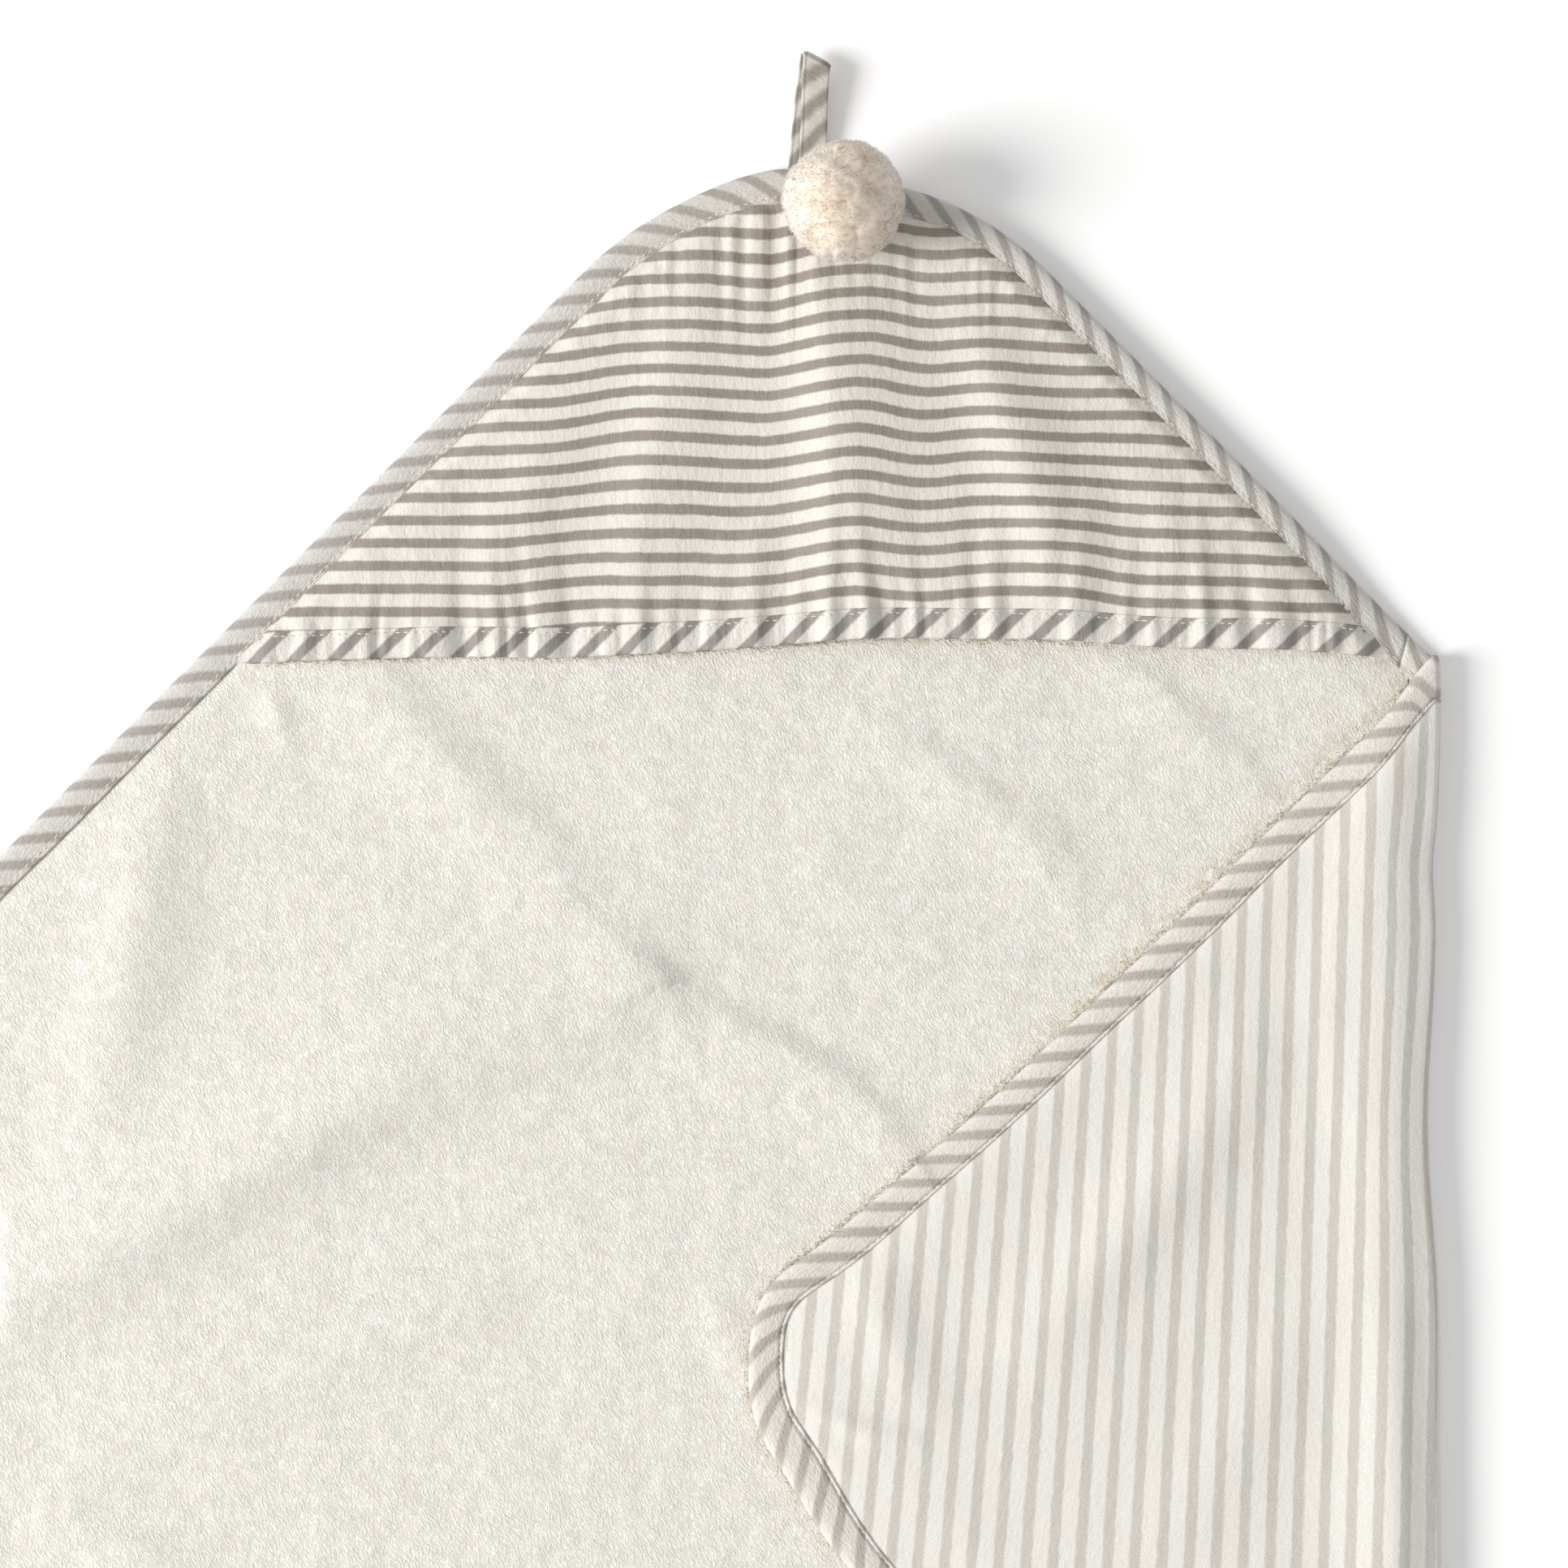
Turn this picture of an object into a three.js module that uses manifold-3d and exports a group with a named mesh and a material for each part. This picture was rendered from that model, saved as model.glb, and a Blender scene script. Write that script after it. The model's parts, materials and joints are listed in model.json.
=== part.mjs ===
// Hooded baby towel, laid out flat with its right corner folded over.
// Millimetres, +Z up. The origin is the centre of the towel's square, on its underside.
// +Y runs along the diagonal towards the hood, +X along the other diagonal.
import * as THREE from "three";
import { mergeVertices } from "three/addons/utils/BufferGeometryUtils.js";
import Module from "manifold-3d";

const wasm = await Module();
wasm.setup();

// ---- dimensions ---------------------------------------------------------
// Insets are measured inwards from the towel's outline.
const SIDE = 762; // side of the square towel, 30 in
const HALF_DIAGONAL = SIDE / Math.SQRT2;
const HOOD_CORNER_RADIUS = 132;
const CORNER_RADIUS = 50; // the other three corners
const ARC_STEPS = 16; // facets in each rounded corner

const BINDING_WIDTH = 12.5; // visible width of the bias binding on each face
const BINDING_CLOTH = 0.6; // thickness of each leaf of the binding
const BINDING_WALL = 0.8; // thickness where the binding turns round the edge
const EDGE_HEIGHT = 5; // towel thickness over the binding

// Both cloth panels are thinner at the rim, inside the binding.
const BACKING_BOTTOM = 0;
const BACKING_TOP = 1.3;
const BACKING_EDGE_BOTTOM = 0.8;
const TERRY_BOTTOM = 1.5;
const TERRY_TOP = 4.6; // top of the loop pile in the field
const TERRY_EDGE_TOP = 4.2; // top of the pile pressed inside the binding
const PANEL_INSET = 1.4; // raw edges
const FIELD_INSET = BINDING_WIDTH + 0.3; // start of the full-thickness cloth

const THREAD_WIDTH = 0.8;
const THREAD_HEIGHT = 0.4;
const THREAD_LIFT = 0.1; // gap between a thread and the cloth under it
const THREAD_INSET = 10.6; // outer side of the topstitching
const THREAD_BOTTOM = EDGE_HEIGHT + THREAD_LIFT;

const SPLIT_GAP = 0.3; // each side of a fold line
const FOLD_Z = 5.7; // height of the three fold axes
const RIGHT_FOLD_X = 249;
const LEFT_FOLD_X = -350;
const BOTTOM_FOLD_Y = -350;

const HOOD_INSET = BINDING_WIDTH + 0.4; // hood cloth stops short of the edge binding
const LINING_BOTTOM = 5.4;
const LINING_TOP = 6.4;
const HOOD_BOTTOM = 6.6;
const HOOD_TOP = 7.1;
const HOOD_PIVOT = new THREE.Vector3(0, 472, 4.8);

const HEM_Y = 291; // free edge of the hood
const HEM_WIDTH = 11.5;
const HEM_BOTTOM = 4.8;
const HEM_TOP = 7.8;
const HEM_LOWER_LEAF_TOP = 5.2;
const HEM_UPPER_LEAF_BOTTOM = 7.3;
const HEM_WALL = 0.6;
const HEM_CLEARANCE = 0.2; // between the hem's wall and the hood cloth
const HEM_STITCH_Y = HEM_Y + HEM_WIDTH - 2; // side of the stitch nearest the free edge
const HEM_STITCH_INSET = HOOD_INSET + 1; // ends of the stitch

const POM_RADIUS = 22;
const POM_SHELL = 2; // thickness of the pile fabric
const POM_STUFFING_GAP = 0.3; // between the stuffing and the shell
const POM_NECK_RADIUS = 3; // opening where the shell is gathered
const POM_NECK_CUT = 12; // height of the cylinder that cuts the opening
const POM_PIVOT = new THREE.Vector3(12.5, 467, 7.3);
const POM_CENTRE = new THREE.Vector3(POM_PIVOT.x, 472, 32.3);
const TIE_RADIUS = 1.2;
const TIE_LIFT = 0.4; // bottom of the shank above its pivot
const TIE_LENGTH = 4.3;

const LOOP_WIDTH = 12.5;
const LOOP_PIVOT = new THREE.Vector3(0, 486.3, EDGE_HEIGHT / 2);
const LOOP_BARREL = 1.8; // radius of the loop's rounded ends, half its thickness
const LOOP_LENGTH = 46; // from the pivot to the far end
const LOOP_CLOTH = 1.2;
const LOOP_SLOT_START = 4; // from the pivot
const BARTACK_Y = [478.2, 479.4];

// Extents of the blocks that divide the cloth, all beyond the towel
const FAR = 700;
const BELOW = -10;
const ABOVE = 20;
const CUT_MARGIN = 1; // how far a cutter overshoots the part it cuts

// ---- materials ----------------------------------------------------------
const cloth = (color, roughness = 0.95) =>
  new THREE.MeshStandardMaterial({ color, roughness, metalness: 0 });
const TERRY = cloth(0xefebe3, 1);
const BACKING = cloth(0xe6e1d9);
const HOOD_CLOTH = cloth(0xcfc9bf);
const BINDING = cloth(0xd5d1cb);
const THREAD = cloth(0xf1efea, 0.8);
const FUR = cloth(0xe2d4c1, 1);
const FILL = cloth(0xf4f2ee, 1);

// ---- solids -------------------------------------------------------------
function toSolid(geometry) {
  const bare = geometry.index ? geometry.toNonIndexed() : geometry.clone();
  // Normals and uvs would keep coincident vertices from merging
  bare.deleteAttribute("normal");
  bare.deleteAttribute("uv");
  const merged = mergeVertices(bare, 1e-4);
  return new wasm.Manifold(
    new wasm.Mesh({
      numProp: 3,
      vertProperties: new Float32Array(merged.attributes.position.array),
      triVerts: new Uint32Array(merged.index.array),
    }),
  );
}

function toGeometry(solid) {
  const mesh = solid.getMesh();
  const geometry = new THREE.BufferGeometry();
  geometry.setAttribute("position", new THREE.BufferAttribute(mesh.vertProperties.slice(), 3));
  geometry.setIndex(new THREE.BufferAttribute(mesh.triVerts.slice(), 1));
  geometry.computeVertexNormals();
  return geometry;
}

// Outline of the rounded square, moved inwards by inset, counter-clockwise
function outline(inset) {
  const points = [];
  // Corners in order: right, hood, left, bottom
  const radii = [CORNER_RADIUS, HOOD_CORNER_RADIUS, CORNER_RADIUS, CORNER_RADIUS];
  radii.forEach((radius, i) => {
    const axis = (i * Math.PI) / 2;
    const reach = HALF_DIAGONAL - radius * Math.SQRT2; // distance to the arc's centre
    for (let k = 0; k <= ARC_STEPS; k++) {
      const angle = axis - Math.PI / 4 + ((Math.PI / 2) * k) / ARC_STEPS;
      points.push(
        new THREE.Vector2(
          reach * Math.cos(axis) + (radius - inset) * Math.cos(angle),
          reach * Math.sin(axis) + (radius - inset) * Math.sin(angle),
        ),
      );
    }
  });
  return new THREE.Shape(points);
}

function sheet(inset, bottom, top) {
  const geometry = new THREE.ExtrudeGeometry(outline(inset), {
    depth: top - bottom,
    bevelEnabled: false,
    steps: 1,
  });
  geometry.translate(0, 0, bottom);
  return toSolid(geometry);
}

// Band that follows the outline between two insets
function band(outerInset, innerInset, bottom, top) {
  return sheet(outerInset, bottom, top).subtract(
    sheet(innerInset, bottom - CUT_MARGIN, top + CUT_MARGIN),
  );
}

// Each argument is a [low, high] pair
function block([x0, x1], [y0, y1], [z0, z1] = [BELOW, ABOVE]) {
  const geometry = new THREE.BoxGeometry(x1 - x0, y1 - y0, z1 - z0);
  geometry.translate((x0 + x1) / 2, (y0 + y1) / 2, (z0 + z1) / 2);
  return toSolid(geometry);
}

// ---- scene graph --------------------------------------------------------
const towel = new THREE.Group();

function addGroup(pivot) {
  const group = new THREE.Group();
  group.position.copy(pivot);
  towel.add(group);
  return group;
}

// The solid is given in the towel's frame, and the parent sits at its own pivot.
function addPiece(parent, name, material, solid) {
  const geometry = toGeometry(solid);
  geometry.translate(-parent.position.x, -parent.position.y, -parent.position.z);
  const mesh = new THREE.Mesh(geometry, material);
  mesh.name = name;
  parent.add(mesh);
}

// ---- towel layers -------------------------------------------------------
function terryLayer() {
  return sheet(FIELD_INSET, TERRY_BOTTOM, TERRY_TOP).add(
    sheet(PANEL_INSET, TERRY_BOTTOM, TERRY_EDGE_TOP),
  );
}

function backingLayer() {
  return sheet(FIELD_INSET, BACKING_BOTTOM, BACKING_TOP).add(
    sheet(PANEL_INSET, BACKING_EDGE_BOTTOM, BACKING_TOP),
  );
}

// Channel section, open inwards, that wraps the rim
function bindingLayer() {
  return band(0, BINDING_WIDTH, 0, EDGE_HEIGHT).subtract(
    sheet(BINDING_WALL, BINDING_CLOTH, EDGE_HEIGHT - BINDING_CLOTH),
  );
}

function stitchLayer() {
  return band(
    THREAD_INSET,
    THREAD_INSET + THREAD_WIDTH,
    THREAD_BOTTOM,
    THREAD_BOTTOM + THREAD_HEIGHT,
  );
}

const panelLayers = [
  { name: "terry", material: TERRY, solid: terryLayer() },
  { name: "backing", material: BACKING, solid: backingLayer() },
];
const edgeLayers = [
  { name: "edge_binding", material: BINDING, solid: bindingLayer() },
  { name: "edge_stitch", material: THREAD, solid: stitchLayer() },
];

// Flat middle of the towel, between the fold lines
function addField() {
  const field = block(
    [LEFT_FOLD_X + SPLIT_GAP, RIGHT_FOLD_X - SPLIT_GAP],
    [BOTTOM_FOLD_Y + SPLIT_GAP, FAR],
  );
  for (const { name, material, solid } of panelLayers) {
    addPiece(towel, `${name}_panel`, material, solid.intersect(field));
  }
  const edgeParts = {
    top: block([-FAR, FAR], [0, FAR]),
    lower_left: block([-FAR, 0], [-FAR, 0]),
    lower_right: block([0, FAR], [-FAR, 0]),
  };
  for (const [suffix, part] of Object.entries(edgeParts)) {
    for (const { name, material, solid } of edgeLayers) {
      addPiece(towel, `${name}_${suffix}`, material, solid.intersect(field).intersect(part));
    }
  }
}

// Corners that fold, each in a group on its fold axis
function addCorners() {
  const corners = [
    {
      side: "right",
      region: block([RIGHT_FOLD_X + SPLIT_GAP, FAR], [-FAR, FAR]),
      pivot: new THREE.Vector3(RIGHT_FOLD_X, 0, FOLD_Z),
      turnY: Math.PI, // folded over onto the field
    },
    {
      side: "left",
      region: block([-FAR, LEFT_FOLD_X - SPLIT_GAP], [-FAR, FAR]),
      pivot: new THREE.Vector3(LEFT_FOLD_X, 0, FOLD_Z),
      turnY: 0,
    },
    {
      side: "bottom",
      region: block([-FAR, FAR], [-FAR, BOTTOM_FOLD_Y - SPLIT_GAP]),
      pivot: new THREE.Vector3(0, BOTTOM_FOLD_Y, FOLD_Z),
      turnY: 0,
    },
  ];
  for (const { side, region, pivot, turnY } of corners) {
    const group = addGroup(pivot);
    for (const { name, material, solid } of [...panelLayers, ...edgeLayers]) {
      addPiece(group, `${name}_${side}_corner`, material, solid.intersect(region));
    }
    group.rotation.y = turnY;
  }
}

// ---- hood ---------------------------------------------------------------
// Channel section along the hood's free edge, open towards +Y
function hemBinding() {
  const strip = block([-FAR, FAR], [HEM_Y, HEM_Y + HEM_WIDTH], [HEM_BOTTOM, HEM_TOP]);
  const channel = block(
    [-FAR - CUT_MARGIN, FAR + CUT_MARGIN],
    [HEM_Y + HEM_WALL, HEM_Y + HEM_WIDTH + CUT_MARGIN],
    [HEM_LOWER_LEAF_TOP, HEM_UPPER_LEAF_BOTTOM],
  );
  return strip.subtract(channel).intersect(sheet(HOOD_INSET, 0, ABOVE));
}

function hemStitch() {
  const bottom = HEM_TOP + THREAD_LIFT;
  return block(
    [-FAR, FAR],
    [HEM_STITCH_Y, HEM_STITCH_Y + THREAD_WIDTH],
    [bottom, bottom + THREAD_HEIGHT],
  ).intersect(sheet(HEM_STITCH_INSET, 0, ABOVE));
}

// Hinged where its cloth meets the binding at the tip
function addHood() {
  const hood = addGroup(HOOD_PIVOT);
  const region = block([-FAR, FAR], [HEM_Y + HEM_WALL + HEM_CLEARANCE, FAR]);
  const hoodLeaf = (bottom, top) => sheet(HOOD_INSET, bottom, top).intersect(region);
  addPiece(hood, "hood_panel", HOOD_CLOTH, hoodLeaf(HOOD_BOTTOM, HOOD_TOP));
  addPiece(hood, "hood_lining", TERRY, hoodLeaf(LINING_BOTTOM, LINING_TOP));
  addPiece(hood, "hood_hem_binding", BINDING, hemBinding());
  addPiece(hood, "hood_hem_stitch", THREAD, hemStitch());
}

// ---- pom-pom ------------------------------------------------------------
// Upright cylinder over the pom-pom's pivot
function pivotCylinder(radius, height, segments, centreZ) {
  const geometry = new THREE.CylinderGeometry(radius, radius, height, segments);
  geometry.rotateX(Math.PI / 2);
  geometry.translate(POM_PIVOT.x, POM_PIVOT.y, centreZ);
  return toSolid(geometry);
}

function pomBall(radius) {
  const geometry = new THREE.SphereGeometry(radius, 28, 18);
  geometry.translate(POM_CENTRE.x, POM_CENTRE.y, POM_CENTRE.z);
  return toSolid(geometry);
}

// Thread shank at the hood's tip
function addTie() {
  const centreZ = POM_PIVOT.z + TIE_LIFT + TIE_LENGTH / 2;
  const shank = pivotCylinder(TIE_RADIUS, TIE_LENGTH, 12, centreZ);
  addPiece(addGroup(POM_PIVOT), "pompom_tie", THREAD, shank);
}

// Pile fabric gathered round stuffing
function addPompom() {
  const pompom = addGroup(POM_CENTRE);
  const innerRadius = POM_RADIUS - POM_SHELL;
  const neck = pivotCylinder(POM_NECK_RADIUS, POM_NECK_CUT, 16, POM_CENTRE.z - POM_RADIUS);
  const shell = pomBall(POM_RADIUS).subtract(pomBall(innerRadius)).subtract(neck);
  addPiece(pompom, "pompom_shell", FUR, shell);
  addPiece(pompom, "pompom_stuffing", FILL, pomBall(innerRadius - POM_STUFFING_GAP));
}

// ---- hanging loop -------------------------------------------------------
// Side view of a strip folded in half, with the slot between its two legs
function loopProfile() {
  const quarter = Math.PI / 2;
  const endCentre = LOOP_LENGTH - LOOP_BARREL;
  const profile = new THREE.Shape();
  profile.absarc(0, 0, LOOP_BARREL, quarter, 3 * quarter, false);
  profile.lineTo(endCentre, -LOOP_BARREL);
  profile.absarc(endCentre, 0, LOOP_BARREL, -quarter, quarter, false);
  profile.closePath();

  const slotHalf = LOOP_BARREL - LOOP_CLOTH;
  const slotTip = LOOP_LENGTH - LOOP_CLOTH;
  const slot = new THREE.Path();
  slot.moveTo(LOOP_SLOT_START, -slotHalf);
  slot.lineTo(slotTip - slotHalf, -slotHalf);
  slot.lineTo(slotTip, 0);
  slot.lineTo(slotTip - slotHalf, slotHalf);
  slot.lineTo(LOOP_SLOT_START, slotHalf);
  slot.closePath();
  profile.holes.push(slot);
  return profile;
}

function addLoop() {
  const geometry = new THREE.ExtrudeGeometry(loopProfile(), {
    depth: LOOP_WIDTH,
    bevelEnabled: false,
    steps: 1,
    curveSegments: 8,
  });
  // Profile x -> +Y, profile y -> +Z, extrusion -> +X
  geometry.applyMatrix4(
    new THREE.Matrix4().makeBasis(
      new THREE.Vector3(0, 1, 0),
      new THREE.Vector3(0, 0, 1),
      new THREE.Vector3(1, 0, 0),
    ),
  );
  geometry.translate(LOOP_PIVOT.x - LOOP_WIDTH / 2, LOOP_PIVOT.y, LOOP_PIVOT.z);
  addPiece(addGroup(LOOP_PIVOT), "hanging_loop", BINDING, toSolid(geometry));
}

// Bar of thread on the edge binding, as wide as the loop
function addBartack() {
  const bar = block(
    [LOOP_PIVOT.x - LOOP_WIDTH / 2, LOOP_PIVOT.x + LOOP_WIDTH / 2],
    BARTACK_Y,
    [THREAD_BOTTOM, THREAD_BOTTOM + THREAD_HEIGHT],
  );
  addPiece(towel, "loop_bartack", THREAD, bar);
}

addField();
addCorners();
addHood();
addTie();
addPompom();
addLoop();
addBartack();

export default towel;
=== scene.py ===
# A square hooded towel lying flat with one diagonal along y: x to the right, y towards the hood,
# z up. The terry side is up; the right corner is rolled over onto the field and shows its striped
# backing. The hood covers the top corner, with a hanging loop and a pom-pom at its apex.
# Shapes are worked out in millimetres and stored in metres.
import json
import math

import bpy
import numpy as np
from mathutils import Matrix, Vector


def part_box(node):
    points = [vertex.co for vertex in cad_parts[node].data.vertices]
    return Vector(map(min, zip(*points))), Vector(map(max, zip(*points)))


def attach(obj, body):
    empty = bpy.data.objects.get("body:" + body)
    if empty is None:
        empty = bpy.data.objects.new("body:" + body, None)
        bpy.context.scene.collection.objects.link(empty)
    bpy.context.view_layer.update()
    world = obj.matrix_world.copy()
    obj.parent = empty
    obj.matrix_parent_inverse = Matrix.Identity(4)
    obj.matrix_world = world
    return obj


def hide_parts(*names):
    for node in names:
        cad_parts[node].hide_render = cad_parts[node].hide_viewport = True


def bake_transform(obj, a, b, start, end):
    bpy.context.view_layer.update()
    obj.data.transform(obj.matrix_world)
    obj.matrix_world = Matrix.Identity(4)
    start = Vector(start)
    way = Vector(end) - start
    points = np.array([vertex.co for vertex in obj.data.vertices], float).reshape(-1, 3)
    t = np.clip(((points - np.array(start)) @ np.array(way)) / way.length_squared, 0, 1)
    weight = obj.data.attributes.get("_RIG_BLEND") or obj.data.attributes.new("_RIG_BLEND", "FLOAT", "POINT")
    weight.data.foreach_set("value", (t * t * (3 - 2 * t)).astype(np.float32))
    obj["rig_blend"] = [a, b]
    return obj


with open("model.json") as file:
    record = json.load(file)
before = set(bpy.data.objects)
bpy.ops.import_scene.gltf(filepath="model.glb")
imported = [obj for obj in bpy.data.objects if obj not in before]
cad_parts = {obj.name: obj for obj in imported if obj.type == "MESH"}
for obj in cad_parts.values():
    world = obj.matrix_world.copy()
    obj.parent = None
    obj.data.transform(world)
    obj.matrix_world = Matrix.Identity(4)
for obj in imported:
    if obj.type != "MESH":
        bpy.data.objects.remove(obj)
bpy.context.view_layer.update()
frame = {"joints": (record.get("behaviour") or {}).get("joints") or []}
JOINTS = {joint["name"]: joint for joint in frame["joints"]}


def mm(point):
    return [value * 1000.0 for value in point]


def metres(*point):
    return [value / 1000 for value in point]


def joint_mm(name):
    return mm(JOINTS[name]["pos_m"])


def box_mm(name):
    return [mm(corner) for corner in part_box(name)]


# ---- places taken from the frame ----
FOLD_X, _, FOLD_Z = joint_mm("right_corner_fold")
LEFT_X = joint_mm("left_corner_fold")[0]
BOTTOM_Y = joint_mm("bottom_corner_fold")[1]
APEX_Y = box_mm("edge_binding_top")[1][1]
HEM_Y = box_mm("hood_hem_binding")[0][1]
POM_LOW, POM_HIGH = box_mm("pompom_shell")
LOOP_LOW, LOOP_HIGH = box_mm("hanging_loop")
TIE_LOW, TIE_HIGH = box_mm("pompom_tie")
TACK_LOW, TACK_HIGH = box_mm("loop_bartack")

# ---- sizes of the cloth ----
SIDE = 762  # side of the square
ROOT2 = math.sqrt(2)
HALF = SIDE / ROOT2  # half its diagonal
CORNER_RADIUS = 50.0
HOOD_RADIUS = (HALF - APEX_Y) / (ROOT2 - 1)
RADII = [CORNER_RADIUS, HOOD_RADIUS, CORNER_RADIUS, CORNER_RADIUS]  # right, hood, left, bottom
ROLL = 14.0  # cloth taken up by the rounded fold
NOSE = 0.62  # how round the fold's edge is
SEAM = 9.0  # pieces meet this far on the field's side of each fold line
TERRY_INSET = 5.0  # cut edges inside the outline
BACKING_INSET = 10.5
FOLDED_BACKING_INSET = 11.0
TERRY_UNDER = 1.55  # heights of the cloths' hidden faces
BACKING_TOP = 1.3
NEEDLE_TAPER = [0.12, 0.24, 0.27, 0.24, 0.12]  # radius along an edge stitch

# Where each joint's motion starts and ends, in metres
BENDS = {
    "right_corner": dict(start=(FOLD_X / 1000, 0, 0), end=(FOLD_X / 1000 + 0.001, 0, 0)),
    "left_corner": dict(start=metres(LEFT_X + 6, 0, 0), end=metres(LEFT_X - 6, 0, 0)),
    "bottom_corner": dict(start=metres(0, BOTTOM_Y + 6, 0), end=metres(0, BOTTOM_Y - 6, 0)),
    "hood": dict(start=(0, 0.47, 0), end=(0, 0.291, 0)),
    "loop": dict(start=(0, 0.4845, 0), end=(0, 0.4905, 0)),
}


# ---- repeatable noise and soft steps ----
def lattice_hash(column, row, seed):
    mixed = (column.astype(np.int64) * 374761393 + row.astype(np.int64) * 668265263
             + seed * 1442695041) & 0xFFFFFFFF
    mixed = ((mixed ^ (mixed >> 13)) * 1274126177) & 0xFFFFFFFF
    return ((mixed ^ (mixed >> 16)) & 0xFFFF) / 65535.0


def noise(x, y, seed):
    """Smooth value noise from -1 to 1, one cell per unit."""
    x, y = np.asarray(x, float), np.asarray(y, float)
    column, row = np.floor(x), np.floor(y)
    part_x, part_y = x - column, y - row
    part_x = part_x * part_x * (3 - 2 * part_x)
    part_y = part_y * part_y * (3 - 2 * part_y)

    def across(row):
        return (lattice_hash(column, row, seed) * (1 - part_x)
                + lattice_hash(column + 1, row, seed) * part_x)

    return (across(row) * (1 - part_y) + across(row + 1) * part_y) * 2 - 1


def clouds(x, y, size, octaves, seed):
    """Noise summed over octaves, the largest one size mm across."""
    out, amount, total = 0, 1.0, 0.0
    for k in range(octaves):
        layer = noise(x / size * 2**k + 17.3 * k, y / size * 2**k - 9.1 * k, seed + k)
        out = out + amount * layer
        total += amount
        amount *= 0.5
    return out / total


def smooth(value):
    value = np.clip(value, 0, 1)
    return value * value * (3 - 2 * value)


def bell(value):
    return np.exp(-np.square(value))


def soft_interp(x, stations, values, spread):
    """Interpolated table values, averaged over a spread either side of x."""
    middle = np.interp(x, stations, values)
    return (0.25 * np.interp(x - spread, stations, values) + 0.5 * middle
            + 0.25 * np.interp(x + spread, stations, values))


def points(x, y, z):
    return np.stack(np.broadcast_arrays(x, y, z), -1)


def unit(vectors):
    return vectors / np.maximum(np.linalg.norm(vectors, axis=-1, keepdims=True), 1e-9)


# ---- the towel's outline ----
def edge_distance(x, y):
    """Distance inside the outline of the rounded square."""
    x, y = np.asarray(x, float), np.asarray(y, float)
    # straight sides: upper right, upper left, lower left, lower right
    sides = [(HALF - reach) / ROOT2 for reach in (x + y, -x + y, -x - y, x - y)]
    inset = np.minimum.reduce(sides)
    for i, radius in enumerate(RADII):
        before, after = sides[i - 1], sides[i]
        rounded = radius - np.hypot(radius - before, radius - after)
        inset = np.where((before < radius) & (after < radius), rounded, inset)
    return inset


def outline_path(step):
    """The closed outline: arc length, points and inward normals, evenly spaced.

    It runs counter-clockwise from the lower end of the right corner's rounding.
    """
    corners, normals = [], []
    for i, radius in enumerate(RADII):
        axis = i * math.pi / 2
        reach = HALF - radius * ROOT2
        count = int(radius * math.pi / 2)
        for k in range(count + 1):
            angle = axis - math.pi / 4 + math.pi / 2 * k / count
            corners.append((reach * math.cos(axis) + radius * math.cos(angle),
                            reach * math.sin(axis) + radius * math.sin(angle)))
            normals.append((-math.cos(angle), -math.sin(angle)))
    corners = np.array(corners + corners[:1])
    normals = np.array(normals + normals[:1])
    arc = np.r_[0, np.cumsum(np.hypot(*np.diff(corners, axis=0).T))]
    even = np.linspace(0, arc[-1], int(arc[-1] / step) + 1)
    return even, resample(even, arc, corners), unit(resample(even, arc, normals))


def resample(at, arc, values):
    return np.stack([np.interp(at, arc, values[:, i]) for i in (0, 1)], 1)


OUTLINE_ARC, OUTLINE_POINTS, OUTLINE_NORMALS = outline_path(step=1.6)
OUTLINE_LENGTH = OUTLINE_ARC[-1]


def outline_at(arc):
    arc = np.mod(arc, OUTLINE_LENGTH)
    return (resample(arc, OUTLINE_ARC, OUTLINE_POINTS),
            unit(resample(arc, OUTLINE_ARC, OUTLINE_NORMALS)))


def find_crossing(axis, line, after):
    """First arc length past after where the outline crosses x (axis 0) or y (axis 1) = line."""
    arc = after + np.arange(0, OUTLINE_LENGTH, 0.8)
    beyond = outline_at(arc)[0][:, axis] > line
    i = np.nonzero(beyond[:-1] != beyond[1:])[0][0]
    low, high = arc[i], arc[i + 1]
    for _ in range(40):
        middle = (low + high) / 2
        if (outline_at(np.array([middle]))[0][0, axis] > line) == beyond[i]:
            low = middle
        else:
            high = middle
    return (low + high) / 2


# Seams between the runs of binding, in order round the outline, and the right fold's two ends
RIGHT_UPPER_SEAM = find_crossing(0, FOLD_X - SEAM, after=60.0)
RIGHT_UPPER_FOLD = find_crossing(0, FOLD_X, after=60.0) + OUTLINE_LENGTH
LEFT_UPPER_SEAM = find_crossing(0, LEFT_X + SEAM, after=RIGHT_UPPER_SEAM + 5)
LEFT_LOWER_SEAM = find_crossing(0, LEFT_X + SEAM, after=LEFT_UPPER_SEAM + 5)
BOTTOM_LEFT_SEAM = find_crossing(1, BOTTOM_Y + SEAM, after=LEFT_LOWER_SEAM + 5)
BOTTOM_RIGHT_SEAM = find_crossing(1, BOTTOM_Y + SEAM, after=BOTTOM_LEFT_SEAM + 5)
RIGHT_LOWER_SEAM = find_crossing(0, FOLD_X - SEAM, after=BOTTOM_RIGHT_SEAM + 5)
RIGHT_LOWER_FOLD = find_crossing(0, FOLD_X, after=BOTTOM_RIGHT_SEAM + 5)


def rolled(x, y):
    """1 where the hood's right edge is rolled under and its band looks narrower."""
    return smooth((x - 26) / 40) * smooth((FOLD_X - 14 - x) / 40) * smooth((y - 262) / 25)


def edge_lift(x, y):
    """The hood's stiff rolled edge stands off the table on the right."""
    lift = 5.0 * smooth((x - 10) / 70) * smooth((FOLD_X - 6 - x) / 60)
    return lift * smooth((y - 250) / 40) * smooth((110 - edge_distance(x, y)) / 110)


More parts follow.
